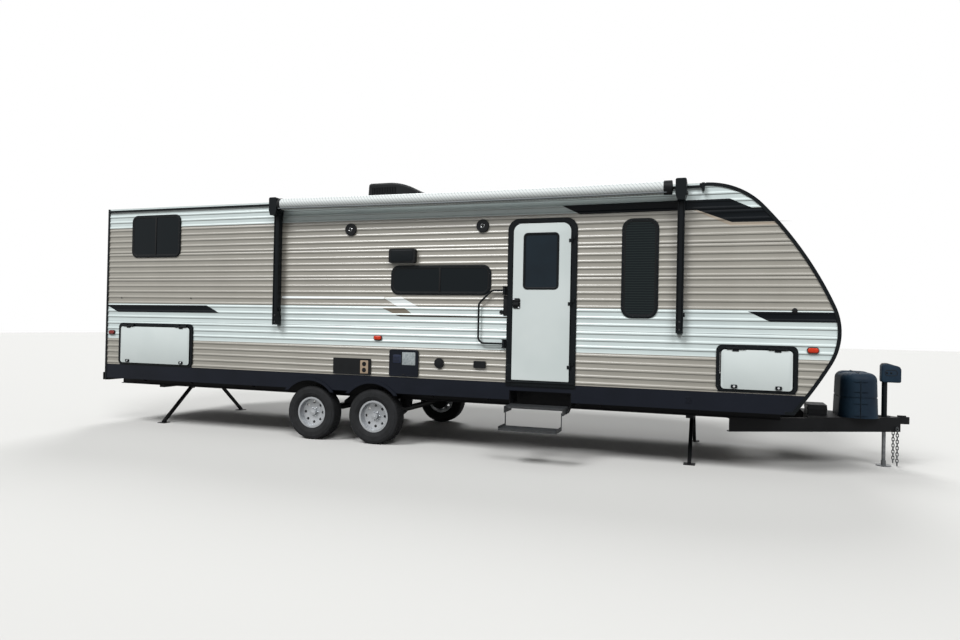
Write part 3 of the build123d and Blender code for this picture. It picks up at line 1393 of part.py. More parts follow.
for place, beam_x in stabiliser_xs:
    for side_name, side in sides:
        leg_run = Vector(0, side * (leg_foot_y - leg_pivot_y), leg_foot_t + leg_shoe_h / 2 - leg_pivot_z)
        leg_plane = Plane(origin=(beam_x, side * leg_pivot_y, leg_pivot_z), x_dir=(1, 0, 0), z_dir=leg_run)
        with BuildPart() as stabiliser_leg:
            with BuildSketch(leg_plane.offset(-leg_t / 2)):
                Rectangle(leg_w, leg_t)
            extrude(amount=leg_run.length + leg_t / 2)
            foot_ys = grown((leg_foot_y, leg_foot_y), leg_foot_size / 2)
            foot_y = (side * foot_ys[0], side * foot_ys[1])
            block(grown((beam_x, beam_x), leg_foot_size / 2), foot_y, (0, leg_foot_t))
            shoe_y = (side * (leg_foot_y - 30), side * (leg_foot_y + leg_shoe_h))
            block(grown((beam_x, beam_x), leg_w / 2), shoe_y, (0, leg_foot_t + leg_shoe_h))
            bore_x = grown((beam_x, beam_x), leg_w)
            bore_ends = [(x, side * leg_pivot_y, leg_pivot_z) for x in bore_x]
            rod(bore_ends[0], bore_ends[1], leg_pin_r + pin_gap, Mode.SUBTRACT)
        keep(stabiliser_leg, "stabiliser_leg_" + place + "_" + side_name)

# Rear bumper, a square tube on the rails' ends
with BuildPart() as rear_bumper:
    block(bumper_x, (-bumper_half, bumper_half), bumper_z)
    bore_y = grown((-bumper_half, bumper_half), 1.0)
    block(grown(bumper_x, -bumper_wall), bore_y, grown(bumper_z, -bumper_wall), Mode.SUBTRACT)
keep(rear_bumper, "rear_bumper")

# Safety chains hanging from the tongue beams
link_bar = 8.0
link_l = 50.0
link_w = 30.0
link_pitch = link_l - 2 * link_bar
chain_top_z = 443.0
chain_count = 12
chain_x = 110.0
chain_y = 94.0
chain_bolt_r = 5.5
chain_bolt_in = 17.5
chain_bolt_out = 12.0
with BuildPart() as safety_chains:
    for _, side in sides:
        for count in range(chain_count):
            link_z = chain_top_z - link_l / 2 - count * link_pitch
            facing = (0, 1, 0) if count % 2 == 0 else (1, 0, 0)
            link_plane = Plane(origin=(chain_x, side * chain_y, link_z), x_dir=(0, 0, 1), z_dir=facing)
            with BuildSketch(link_plane):
                SlotOverall(link_l, link_w)
                SlotOverall(link_l - 2 * link_bar, link_w - 2 * link_bar, mode=Mode.SUBTRACT)
            extrude(amount=link_bar / 2, both=True)
        bolt_z = chain_top_z - link_bar - chain_bolt_r
        bolt_ys = (chain_y - chain_bolt_in, chain_y + chain_bolt_out)
        rod((chain_x, side * bolt_ys[0], bolt_z), (chain_x, side * bolt_ys[1], bolt_z), chain_bolt_r)
keep(safety_chains, "safety_chains")
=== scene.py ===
import math

import bmesh
import bpy
from mathutils import Matrix, Vector


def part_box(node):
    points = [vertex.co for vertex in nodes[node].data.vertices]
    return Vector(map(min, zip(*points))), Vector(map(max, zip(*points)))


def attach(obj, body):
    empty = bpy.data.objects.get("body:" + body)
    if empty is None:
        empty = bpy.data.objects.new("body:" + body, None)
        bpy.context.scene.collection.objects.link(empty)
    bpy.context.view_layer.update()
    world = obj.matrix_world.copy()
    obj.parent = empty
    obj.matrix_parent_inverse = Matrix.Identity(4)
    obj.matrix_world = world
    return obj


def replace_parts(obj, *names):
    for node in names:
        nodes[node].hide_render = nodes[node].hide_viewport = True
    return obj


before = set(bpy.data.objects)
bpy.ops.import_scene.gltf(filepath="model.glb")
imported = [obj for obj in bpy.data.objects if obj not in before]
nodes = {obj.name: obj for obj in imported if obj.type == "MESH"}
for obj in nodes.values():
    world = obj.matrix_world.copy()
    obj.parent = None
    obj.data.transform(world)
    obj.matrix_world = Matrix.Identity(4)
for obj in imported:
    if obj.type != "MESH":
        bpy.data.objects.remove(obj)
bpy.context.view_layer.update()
mm = 0.001
print("frame loaded:", len(nodes), "nodes")

# materials
shaderNames = {
    "colour": "Base Color",
    "rough": "Roughness",
    "metal": "Metallic",
    "specular": "Specular IOR Level",
}
waveRepeat = math.pi / 10  # metres from band to band of a wave texture at scale 1


def hexColour(text):  # sRGB hex to the linear values that the shaders take
    parts = [int(text[i : i + 2], 16) / 255 for i in (0, 2, 4)]
    return tuple(p / 12.92 if p <= 0.04045 else ((p + 0.055) / 1.055) ** 2.4 for p in parts) + (1.0,)


def addNode(tree, kind, inputs=None, **settings):  # one node, its settings, and its values or links
    node = tree.nodes.new(kind)
    for name, value in settings.items():
        setattr(node, name, value)
    for key, value in (inputs or {}).items():
        if isinstance(value, bpy.types.NodeSocket):
            tree.links.new(value, node.inputs[key])
        else:
            node.inputs[key].default_value = value
    return node


def startMaterial(name, **shader):
    material = bpy.data.materials.new(name)
    material.use_nodes = True
    tree = material.node_tree
    tree.nodes.clear()
    surface = addNode(tree, "ShaderNodeBsdfPrincipled")
    for key, value in shader.items():
        surface.inputs[shaderNames[key]].default_value = value
    addNode(tree, "ShaderNodeOutputMaterial", {"Surface": surface.outputs[0]})
    place = addNode(tree, "ShaderNodeTexCoord").outputs["Object"]
    return material, tree, place, surface


def noiseHeight(tree, place, size, stretch=(1, 1, 1), detail=3.0):  # size is a blotch's width in metres
    moved = addNode(tree, "ShaderNodeMapping", {"Vector": place, "Scale": stretch}).outputs[0]
    pattern = {"Vector": moved, "Scale": 1 / size, "Detail": detail}
    return addNode(tree, "ShaderNodeTexNoise", pattern).outputs["Fac"]


def blend(tree, share, low, high, fromShare=0.35, toShare=0.65, most=1.0):  # a colour that follows a pattern
    limits = {"Value": share, "From Min": fromShare, "From Max": toShare, "To Max": most}
    spread = addNode(tree, "ShaderNodeMapRange", limits, clamp=True).outputs[0]
    return addNode(tree, "ShaderNodeMix", {0: spread, 6: low, 7: high}, data_type="RGBA").outputs[2]


def setBump(tree, surface, height, depth, strength=0.6):
    bump = addNode(tree, "ShaderNodeBump", {"Height": height, "Distance": depth, "Strength": strength})
    tree.links.new(bump.outputs[0], surface.inputs["Normal"])


def blotchedMaterial(name, low, high, blotch, grain, depth, shader):
    material, tree, place, surface = startMaterial(name, **shader)
    colour = blend(tree, noiseHeight(tree, place, blotch * mm), hexColour(low), hexColour(high))
    tree.links.new(colour, surface.inputs["Base Color"])
    setBump(tree, surface, noiseHeight(tree, place, grain * mm), depth * mm)
    return material


sidingFinish = {
    "white": ("BDC9C9", "C4D0CF"),
    "taupe": ("8A877E", "918E85"),
    "bands": [(0.0, "taupe"), (1.172, "white"), (1.65, "taupe"), (2.666, "white")],  # from each height up
    "bandsTop": 3.2,  # metres, above the roof
    "rough": 0.33,
    "streak": 350,  # mm
    "ripple": 250,  # mm
    "rippleDepth": 1.2,  # mm
    # painted shade: the dark colour mixed into faces that look down, the lower slope of each rib
    "film": "33322E",
    "underShadeShare": 0.45,
    "underShadeFacing": (-0.12, -0.4),  # how far a face looks down where the painted shade starts, and where it is full
}


def sidingMaterial():  # coil-coated aluminium: gloss enamel in bands, faint streaks, and painted shade on the down-facing lower slopes of the ribs
    material, tree, place, surface = startMaterial(
        "coil coated aluminium", rough=sidingFinish["rough"], specular=1.0
    )
    streaks = noiseHeight(tree, place, sidingFinish["streak"] * mm, (1, 1, 0.5), 4)
    white, taupe = [
        blend(tree, streaks, *map(hexColour, sidingFinish[kind]), 0.3, 0.7) for kind in ("white", "taupe")
    ]
    height = addNode(tree, "ShaderNodeSeparateXYZ", {"Vector": place}).outputs["Z"]
    top = sidingFinish["bandsTop"]
    share = addNode(tree, "ShaderNodeMath", {0: height, 1: top}, operation="DIVIDE").outputs[0]
    ramp = addNode(tree, "ShaderNodeValToRGB", {"Fac": share})
    ramp.color_ramp.interpolation = "CONSTANT"
    stops = ramp.color_ramp.elements
    for number, (start, kind) in enumerate(sidingFinish["bands"]):
        stop = stops[number] if number < 2 else stops.new(start / top)
        stop.position = start / top
        stop.color = (1, 1, 1, 1) if kind == "white" else (0, 0, 0, 1)
    panels = blend(tree, ramp.outputs[0], taupe, white, 0, 1)
    # painted shade: the more a face looks down, the more of the dark colour it takes, so each rib's lower
    # slope is darkened
    normal = addNode(tree, "ShaderNodeNewGeometry").outputs["Normal"]
    facing = addNode(tree, "ShaderNodeSeparateXYZ", {"Vector": normal}).outputs["Z"]
    film = hexColour(sidingFinish["film"])
    underShaded = blend(tree, facing, panels, film, *sidingFinish["underShadeFacing"], sidingFinish["underShadeShare"])
    tree.links.new(underShaded, surface.inputs["Base Color"])
    ripples = noiseHeight(tree, place, sidingFinish["ripple"] * mm, (1, 1, 2), 2)
    setBump(tree, surface, ripples, sidingFinish["rippleDepth"] * mm, 0.35)
    return material


blind = {"x": -2.514, "half": 0.17, "pitch": 26.18}  # pleated blind behind the tall panes, pitch in mm


def glassMaterial():  # tinted safety glass: nearly black, a clean hard reflection, faint lines of the blind
    material, tree, place, surface = startMaterial("tinted safety glass", rough=0.04, specular=0.14)
    along = addNode(tree, "ShaderNodeSeparateXYZ", {"Vector": place}).outputs["X"]
    pleats = {"Vector": place, "Scale": waveRepeat / (blind["pitch"] * mm), "Distortion": 0.6}
    lines = addNode(tree, "ShaderNodeTexWave", pleats, bands_direction="Z").outputs["Fac"]
    pane = {0: along, 1: blind["x"], 2: blind["half"]}
    behind = addNode(tree, "ShaderNodeMath", pane, operation="COMPARE").outputs[0]
    shown = addNode(tree, "ShaderNodeMath", {0: lines, 1: behind}, operation="MULTIPLY").outputs[0]
    tint = blend(tree, shown, hexColour("0A1216"), hexColour("1E2827"), 0.55, 0.95)
    tree.links.new(tint, surface.inputs["Base Color"])
    setBump(tree, surface, noiseHeight(tree, place, 700 * mm), 2 * mm, 0.15)
    return material


def plankMaterial():  # sheet vinyl printed as planks 150 mm wide: satin, warm brown, thin dark joints
    material, tree, place, surface = startMaterial("sheet vinyl planks", rough=0.45)
    grain = noiseHeight(tree, place, 50 * mm, (0.15, 1, 1), 5)
    joints = {"Scale": 1.0, "Mortar Size": 1.5 * mm, "Brick Width": 1200 * mm, "Row Height": 150 * mm}
    colours = {"Color1": "7A6A58", "Color2": "8F7D69", "Mortar": "4A3F35"}
    colours = {name: hexColour(text) for name, text in colours.items()}
    planks = addNode(tree, "ShaderNodeTexBrick", {"Vector": place, **colours, **joints}).outputs[0]
    tree.links.new(blend(tree, grain, planks, hexColour("9A8873"), 0, 1), surface.inputs["Base Color"])
    return material


def treadPlateMaterial():  # punched steel tread: powder coat over grips, drawn 18 mm apart so they show
    material, tree, place, surface = startMaterial("powder coated tread plate", rough=0.55)
    raised = {"Vector": place, "Scale": 1 / (18.18 * mm)}
    grips = addNode(tree, "ShaderNodeTexVoronoi", raised).outputs["Distance"]
    colour = blend(tree, grips, hexColour("25282B"), hexColour("101214"))
    tree.links.new(colour, surface.inputs["Base Color"])
    setBump(tree, surface, grips, 3 * mm, 0.8)
    return material


def awningMaterial():  # vinyl coated weather cover: white, grey diagonals drawn 30 mm apart so they show
    material, tree, place, surface = startMaterial("coated awning vinyl", rough=0.5)
    slanted = {"Vector": place, "Rotation": (0, math.radians(40), 0)}
    turned = addNode(tree, "ShaderNodeMapping", slanted).outputs[0]
    diagonals = {"Vector": turned, "Scale": waveRepeat / (29.92 * mm), "Distortion": 0.4, "Detail": 1.0}
    wave = addNode(tree, "ShaderNodeTexWave", diagonals, bands_direction="X").outputs["Fac"]
    colour = blend(tree, wave, hexColour("C6CBCA"), hexColour("9EA4A6"), 0.8, 0.97)
    tree.links.new(colour, surface.inputs["Base Color"])
    setBump(tree, surface, noiseHeight(tree, place, 4 * mm), 0.4 * mm)
    return material


# plain finishes: what it is, two colours, width of its blotches, width and depth of its grain in mm, shader
plainFinishes = {
    # cut vinyl film, rolled on: smooth, even and slightly glossy
    "blackFilm": ("black vinyl film", "070C10", "0A0F14", 600, 10, 0.2, dict(rough=0.3, specular=0.1)),
    "tanFilm": ("tan vinyl film", "8E8375", "9B9081", 600, 10, 0.2, dict(rough=0.35)),
    "whiteFilm": ("white vinyl film", "D5DBDB", "DDE3E3", 600, 10, 0.2, dict(rough=0.3)),
    "taupeFilm": ("taupe vinyl film", "6B6458", "777063", 600, 10, 0.2, dict(rough=0.35)),
    "brownFilm": ("brown vinyl film", "33291F", "3B3026", 600, 10, 0.2, dict(rough=0.35, specular=0.3)),
    # fibreglass laid up on a polished mould: deep gloss white with a very slight ripple
    "gelcoat": ("gel coated fibreglass", "C0C9C8", "C9D1D0", 800, 120, 0.6, dict(rough=0.22)),
    # extruded aluminium, powder coated: satin black, fine orange peel
    "blackFrame": (
        "powder coated aluminium", "080C0F", "0B1013", 300, 3, 0.3, dict(rough=0.4, specular=0.12)
    ),
    # moulded ABS: dull sheen over a fine etched grain
    "blackPlastic": ("moulded ABS", "0A0C0E", "101214", 150, 2, 0.3, dict(rough=0.5, specular=0.15)),
    "greyPlastic": ("moulded grey ABS", "5A6064", "686E72", 300, 4, 0.3, dict(rough=0.5)),
    "blueVent": ("dark blue ABS", "141D33", "1A2440", 100, 3, 0.2, dict(rough=0.5, specular=0.3)),
    # moulded ASA and nylon: matt, slightly chalky from the sun
    "whitePlastic": ("moulded ASA", "C5C8C4", "D0D3CF", 300, 4, 0.3, dict(rough=0.45)),
    "tanPlastic": ("moulded tan nylon", "8C7A66", "978571", 100, 3, 0.2, dict(rough=0.5)),
    # coated sheet aluminium of the skirt: near black blue, road dust
    "skirt": ("coated skirt sheet", "0B0F17", "10141D", 500, 20, 0.4, dict(rough=0.42, specular=0.13)),
    # enamel brushed over rolled steel: black, dusty, a little uneven
    "chassis": ("chassis enamel", "08090B", "111214", 220, 12, 0.8, dict(rough=0.55, specular=0.14)),
    # rolled EPDM sheet: chalky white rubber
    "membrane": ("EPDM sheet", "BCBDB8", "C4C4BF", 250, 6, 0.5, dict(rough=0.8)),
    # plywood faced with printed paper: matt, warm grey
    "wallPanel": ("papered plywood", "B9B2A3", "C6C0B2", 300, 10, 0.2, dict(rough=0.6)),
    # moulded tyre rubber: carbon black, dull, dusty
    "rubber": ("tyre rubber", "131415", "1D1E20", 80, 3, 0.5, dict(rough=0.8, specular=0.25)),
    # extruded EPDM gasket: matt black
    "glazingRubber": ("glazing rubber", "070809", "0B0C0E", 100, 3, 0.2, dict(rough=0.7, specular=0.2)),
    # lacquer sprayed on pressed steel: soft silver sparkle
    "wheel": ("silver wheel lacquer", "9A9DA0", "A8ABAE", 200, 2, 0.2, dict(rough=0.35, metal=0.55)),
    # plated steel: bright when it is new, grey and duller with weather
    "zinc": ("zinc plated steel", "8D9093", "A7AAAC", 50, 4, 0.3, dict(rough=0.35, metal=1.0)),
    "chrome": ("chromed steel", "C4C7CA", "CFD2D4", 300, 20, 0.1, dict(rough=0.12, metal=1.0)),
    "dullSteel": ("weathered zinc steel", "5E6062", "77797B", 50, 4, 0.3, dict(rough=0.42, metal=0.9)),
    "darkSteel": ("blackened steel", "3C3E40", "55585A", 30, 3, 0.3, dict(rough=0.42, metal=0.9)),
    "darkScrew": ("black oxide steel", "15171A", "1E2124", 20, 2, 0.1, dict(rough=0.4, specular=0.4)),
    "zincPlate": ("bare data plate", "7D8487", "9AA1A3", 20, 2, 0.1, dict(rough=0.4, metal=0.5)),
    # rotomoulded polyethylene: soft dark blue grey, slight pebble
    "polyethylene": (
        "rotomoulded polyethylene", "0E1D2B", "152938", 250, 4, 0.6, dict(rough=0.6, specular=0.18)
    ),
    # toughened float glass, dark tinted: flat and hard
    "doorGlass": ("toughened door glass", "121D25", "16242D", 600, 500, 1.0, dict(rough=0.05, specular=0.16)),
    # cast acrylic lenses: milky, amber or red, smooth
    "milkLens": ("opal acrylic", "B9BEBD", "C4C9C8", 100, 4, 0.2, dict(rough=0.25)),
    "amberLens": ("amber acrylic", "B42604", "C4330A", 20, 4, 0.5, dict(rough=0.22, specular=0.3)),
    "redLens": ("red acrylic", "6A100A", "80160E", 20, 4, 0.5, dict(rough=0.2, specular=0.4)),
    # self-levelling lap sealant: soft white beads
    "sealant": ("lap sealant", "A9AAA6", "BABBB6", 100, 10, 1.0, dict(rough=0.6)),
}
finishes = {
    "siding": sidingMaterial(),
    "glass": glassMaterial(),
    "planks": plankMaterial(),
    "tread": treadPlateMaterial(),
    "awningVinyl": awningMaterial(),
}
finishes.update({title: blotchedMaterial(*values) for title, values in plainFinishes.items()})
print("materials made:", len(finishes))

nodeFinish = {
    "chassis": """frame_rails outriggers tongue_beams tongue_tray coupler axles springs stabiliser_beams
        stabiliser_leg_front_left stabiliser_leg_front_right stabiliser_leg_rear_left
        stabiliser_leg_rear_right step_frame step_links_inner step_links_outer rear_bumper underbelly""",
    "tread": "step_upper step_lower",
    "skirt": "skirts",
    "siding": "siding front_wall",
    "wallPanel": "left_wall right_wall rear_wall luggage_bays",
    "planks": "floor",
    "membrane": "roof",
    "blackFrame": """body_trim window_frames baggage_door_frames entry_door_frame grab_rail awning_arms
        jack_housing entry_door baggage_door_front_left baggage_door_front_right baggage_door_rear_right""",
    "doorGlass": "entry_door_glass",
    "blackPlastic": "entry_door_latch wall_fittings battery_box air_conditioner",
    "glass": "window_glass",
    "rubber": "tyre_left_front tyre_left_rear tyre_right_front tyre_right_rear",
    "wheel": "rim_left_front rim_left_rear rim_right_front rim_right_rear",
    "awningVinyl": "awning_roller",
    "darkSteel": "safety_chains",
    "dullSteel": "jack_ram",
    "polyethylene": "gas_bottle_cover",
    "whitePlastic": "roof_vents",
    "amberLens": "lamps",
}
for finish, names in nodeFinish.items():
    for name in names.split():
        nodes[name].data.materials.clear()
        nodes[name].data.materials.append(finishes[finish])
print("nodes without a finish:", sorted(set(nodes) - set(" ".join(nodeFinish.values()).split())))

# body outline and ribbed siding
shell = {
    "halfWidth": 1.219,
    "rearX": -9.710,
    "noseStartX": -1.870,
    "roofZ": 2.940,
    "floorZ": 0.820,
    "noseArcs": [(0.740, 47.5), (3.716, 18.5), (0.640, 53.0), (4.285, 8.0)],  # radius, turn in degrees
}
ribs = {
    "Rib Pitch": 0.075,
    "First Rib": 0.004,
    "Upper Slope": 0.017,
    "Crest": 0.009,
    "Lower Slope": 0.012,
    "Rib Depth": 0.0056,
}
ribCuts = [0, 0.004, 0.0085, 0.013, 0.017, 0.0215, 0.026, 0.029, 0.032, 0.035, 0.038]  # down each rib
panelTops = [3.005, 2.666, 2.327, 1.989, 1.650, 1.411, 1.172, 0.820]
sideSigns = {"right": -1, "left": 1}

# windows: side, x from and to, z from and to, corner radius, and where dividing bars stand
windows = [
    ("right", (-5.385, -4.146), (1.787, 2.130), 0.100, [-4.765]),
    ("right", (-2.704, -2.324), (1.553, 2.600), 0.110, []),
    ("right", (-9.281, -8.467), (2.271, 2.838), 0.090, [-8.874]),
    ("left", (-2.704, -2.324), (1.553, 2.600), 0.110, []),
    ("left", (-6.900, -5.700), (1.560, 2.180), 0.100, [-6.300]),
    ("left", (-9.281, -8.467), (2.271, 2.838), 0.090, [-8.874]),
]
# doors: frame, body, side, leaf x, leaf z, corner, flange at the sides, top and bottom, foot of the opening
frontBag = ((-1.701, -1.030), (0.855, 1.259))
rearBag = ((-9.430, -8.276), (0.845, 1.343))
bagFlange = (0.044, 0.044, 0.022)
doors = [
    ("entry", "entry_door", "right", (-3.890, -3.240), (0.850, 2.580), 0.095, (0.065, 0.053, 0.065), 0.800),
    ("bagFrontRight", "baggage_door_front_right", "right", *frontBag, 0.040, bagFlange, 0.829),
    ("bagFrontLeft", "baggage_door_front_left", "left", *frontBag, 0.040, bagFlange, 0.829),
    ("bagRearRight", "baggage_door_rear_right", "right", *rearBag, 0.040, bagFlange, 0.822),
]
laps = {"window": 0.016, "door": 0.026, "doorCorner": 0.020}  # how far each opening is from its frame or leaf


def wallPlace(sign, rise=0, away=1):  # points on a side wall: x, z, and the height off the wall or into it
    return lambda x, z, out=0: (x, sign * (shell["halfWidth"] + rise + away * out), z)


def rearPlace(sign):  # points on the rear wall: y, z, and the height off the wall
    return lambda y, z, out=0: (shell["rearX"] - out, sign * y, z)


def shrunk(pair, inset):
    return (pair[0] + inset, pair[1] - inset)


def cornerRadii(radius, inset=0):  # radius is one number, or one for the top and one for the bottom
    both = radius if isinstance(radius, tuple) else (radius, radius)
    return tuple(max(r - inset, 0.0003) for r in both)


def nosePoints(steps=14):  # points down the nose, with the direction of travel
    x, z, heading = shell["noseStartX"], shell["roofZ"], 0.0
    points = [(x, z, heading)]
    for radius, turn in shell["noseArcs"]:
        step = math.radians(turn) / steps
        for _ in range(steps):
            chord = 2 * radius * math.sin(step / 2)
            x += chord * math.cos(heading - step / 2)
            z += chord * math.sin(heading - step / 2)
            heading -= step
            points.append((x, z, heading))
    return points


def edgeAt(a, b, z):  # where an edge crosses a level line
    return a[0] + (z - a[1]) * (b[0] - a[0]) / (b[1] - a[1])


def bodyLoop():
    curve = [(x, z) for x, z, _ in nosePoints()]
    above = [p for p in curve if p[1] > shell["floorZ"]]
    corner = (edgeAt(above[-1], curve[len(above)], shell["floorZ"]), shell["floorZ"])
    return [(shell["rearX"], shell["floorZ"]), (shell["rearX"], shell["roofZ"])] + above + [corner]


def roundedLoop(xPair, zPair, radius, steps=6):
    corners = [(1, 1, 0), (0, 1, 90), (0, 0, 180), (1, 0, 270)]
    points, (upper, lower) = [], cornerRadii(radius)
    for right, up, start in corners:
        radius = upper if up else lower
        x = xPair[right] + (-radius if right else radius)
        z = zPair[up] + (-radius if up else radius)
        for step in range(steps + 1):
            angle = math.radians(start + 90 * step / steps)
            points.append((x + radius * math.cos(angle), z + radius * math.sin(angle)))
    return points


def spansBetween(loops, low, high):  # stretches of sheet between two levels, by their four corners
    middle = (low + high) / 2
    edges = [edge for loop in loops for edge in zip(loop, loop[1:] + loop[:1])]
    edges = [(a, b) for a, b in edges if (a[1] > middle) != (b[1] > middle)]
    edges.sort(key=lambda edge: edgeAt(*edge, middle))
    pairs = zip(edges[::2], edges[1::2])
    return [[edgeAt(*edge, z) for z in (low, high) for edge in pair] for pair in pairs]


def ribLevels():
    levels, seamGap = set(), 0.003
    for top, bottom in zip(panelTops, panelTops[1:]):
        levels |= {top, bottom + seamGap}
        start = top - ribs["First Rib"]
        while start > bottom:
            levels |= {start - cut for cut in ribCuts if start - cut > bottom + seamGap}
            start -= ribs["Rib Pitch"]
    return levels


def spaced(levels, gap):  # sorted levels, without those that lie too close
    kept = []
    for level in sorted(levels):
        if not kept or level - kept[-1] > gap:
            kept.append(level)
    return kept


def sheetCells(loops, clip=None):  # flat sheet cut at every level, as corner points and faces
    heights = {p[1] for loop in loops + (clip or []) for p in loop}
    lowest, highest = min(p[1] for loop in loops for p in loop), max(p[1] for loop in loops for p in loop)
    kept = spaced({z for z in heights | ribLevels() if lowest <= z <= highest}, 0.0004)
    cells, rows = [], {}
    for low, high in zip(kept, kept[1:]):
        spans = spansBetween(loops, low, high)
        if clip:
            spans = [
                [max(s[0], c[0]), min(s[1], c[1]), max(s[2], c[2]), min(s[3], c[3])]
                for s in spans
                for c in spansBetween(clip, low, high)
                if min(s[1], c[1]) > max(s[0], c[0]) or min(s[3], c[3]) > max(s[2], c[2])
            ]
        for a, b, c, d in spans:
            b, d = max(a, b), max(c, d)
            cells.append((low, high, a, b, c, d))
            rows.setdefault(low, set()).update((round(a, 5), round(b, 5)))
            rows.setdefault(high, set()).update((round(c, 5), round(d, 5)))
    points, index, faces = [], {}, []

    def corner(x, z):
        key = (round(x, 5), round(z, 5))
        if key not in index:
            index[key] = len(points)
            points.append(key)
        return index[key]

    for low, high, a, b, c, d in cells:
        under = [x for x in sorted(rows[low]) if round(a, 5) <= x <= round(b, 5)]
        over = [x for x in sorted(rows[high], reverse=True) if round(c, 5) <= x <= round(d, 5)]
        face = [corner(x, low) for x in under] + [corner(x, high) for x in over]
        if len(set(face)) > 2:
            faces.append(face)
    return points, faces


def startTree(name, kinds):  # a tree that takes geometry, its named inputs and a finish
    tree = bpy.data.node_groups.new(name, "GeometryNodeTree")
    for title, kind in {"Geometry": "Geometry", **kinds, "Finish": "Material"}.items():
        tree.interface.new_socket(title, in_out="INPUT", socket_type="NodeSocket" + kind)
    tree.interface.new_socket("Geometry", in_out="OUTPUT", socket_type="NodeSocketGeometry")
    return tree, addNode(tree, "NodeGroupInput").outputs


def endTree(tree, made, finish):  # real geometry in its finish
    real = addNode(tree, "GeometryNodeRealizeInstances", {0: made}).outputs[0]
    done = addNode(tree, "GeometryNodeSetMaterial", {"Geometry": real, "Material": finish}).outputs[0]
    addNode(tree, "NodeGroupOutput", {0: done})
    return tree


def ribTree():  # each point moves back from the crest line by what the rib's shape gives at its height
    tree, given = startTree("siding ribs", {**{name: "Float" for name in ribs}, "Lift": "Float"})
    below, outward = [
        addNode(tree, "GeometryNodeInputNamedAttribute", {"Name": name}, data_type=kind).outputs[0]
        for name, kind in (("belowSeam", "FLOAT"), ("outward", "FLOAT_VECTOR"))
    ]
    pastFirst = {0: below, 1: given["First Rib"]}
    start = addNode(tree, "ShaderNodeMath", pastFirst, operation="SUBTRACT").outputs[0]
    inPitch = {0: start, 1: given["Rib Pitch"]}
    along = addNode(tree, "ShaderNodeMath", inPitch, operation="FLOORED_MODULO").outputs[0]
    upper, crest = given["Upper Slope"], given["Crest"]
    crestEnd = addNode(tree, "ShaderNodeMath", {0: upper, 1: crest}, operation="ADD").outputs[0]
    foot = {0: crestEnd, 1: given["Lower Slope"]}
    ribEnd = addNode(tree, "ShaderNodeMath", foot, operation="ADD").outputs[0]
    slopes = ({"From Max": upper}, {"From Min": crestEnd, "From Max": ribEnd})
    eased = {"interpolation_type": "SMOOTHSTEP"}
    rise, fall = [
        addNode(tree, "ShaderNodeMapRange", {"Value": along, **slope}, **eased).outputs[0] for slope in slopes
    ]
    shape = addNode(tree, "ShaderNodeMath", {0: rise, 1: fall}, operation="SUBTRACT").outputs[0]
    inPanel = addNode(tree, "ShaderNodeMath", {0: below, 1: 0.0}, operation="GREATER_THAN").outputs[0]
    raised = addNode(tree, "ShaderNodeMath", {0: shape, 1: inPanel}, operation="MULTIPLY").outputs[0]
    back = addNode(tree, "ShaderNodeMath", {0: raised, 1: 1.0}, operation="SUBTRACT").outputs[0]
    depths = {0: back, 1: given["Rib Depth"], 2: given["Lift"]}
    move = addNode(tree, "ShaderNodeMath", depths, operation="MULTIPLY_ADD").outputs[0]
    shift = addNode(tree, "ShaderNodeVectorMath", {0: outward, "Scale": move}, operation="SCALE").outputs[0]
    shifted = {"Geometry": given["Geometry"], "Offset": shift}
    moved = addNode(tree, "GeometryNodeSetPosition", shifted).outputs[0]
    return endTree(tree, moved, given["Finish"])


def runTree(piece, tree, values):  # gives the piece the tree's result as a plain mesh
    modifier = piece.modifiers.new(tree.name, "NODES")
    modifier.node_group = tree
    for item in tree.interface.items_tree:
        if item.in_out == "INPUT" and item.name in values:
            modifier[item.identifier] = values[item.name]
    shown = piece.evaluated_get(bpy.context.evaluated_depsgraph_get())
    made = bpy.data.meshes.new_from_object(shown)
    piece.modifiers.remove(modifier)
    piece.data = made


def plainPiece(name, points, edges, faces):
    mesh = bpy.data.meshes.new(name)
    mesh.from_pydata(points, edges, faces)
    piece = bpy.data.objects.new(name, mesh)
    bpy.context.scene.collection.objects.link(piece)
    return piece


def storeValues(piece, name, kind, values):  # one value for each point of the piece
    layer = piece.data.attributes.new(name, kind, "POINT").data
    for number, value in enumerate(values):
        setattr(layer[number], "value" if kind == "FLOAT" else "vector", value)


def settle(piece, body, smooth=None):  # smooth shading, sharp past an angle, then its body
    piece.data.polygons.foreach_set("use_smooth", [True] * len(piece.data.polygons))
    if smooth:
        piece.data.set_sharp_from_angle(angle=math.radians(smooth))
    if body:
        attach(piece, body)
    return piece


siding = ribTree()


def ribbedPiece(name, points, faces, below, outward, facing, finish, shape):
    piece = plainPiece(name, points, [], faces)
    storeValues(piece, "belowSeam", "FLOAT", below)
    storeValues(piece, "outward", "FLOAT_VECTOR", outward)
    runTree(piece, siding, {**ribs, **shape, "Finish": finishes[finish]})
    form = bmesh.new()
    form.from_mesh(piece.data)
    bmesh.ops.reverse_faces(form, faces=[f for f in form.faces if f.normal.dot(Vector(facing)) < 0])
    form.to_mesh(piece.data)
    form.free()
    return settle(piece, "trailer")


def ribbedSheet(name, loops, place, outward, finish, lift=0.0, clip=None):
    points, faces = sheetCells(loops, clip)
    drops = [min(top for top in panelTops if top > z - 0.0001) - z for _, z in points]
    below = [drop if drop > 0.0005 else -1.0 for drop in drops]
    places, aways = [place(x, z) for x, z in points], [outward] * len(points)
    return ribbedPiece(name, places, faces, below, aways, outward, finish, {"Lift": lift})


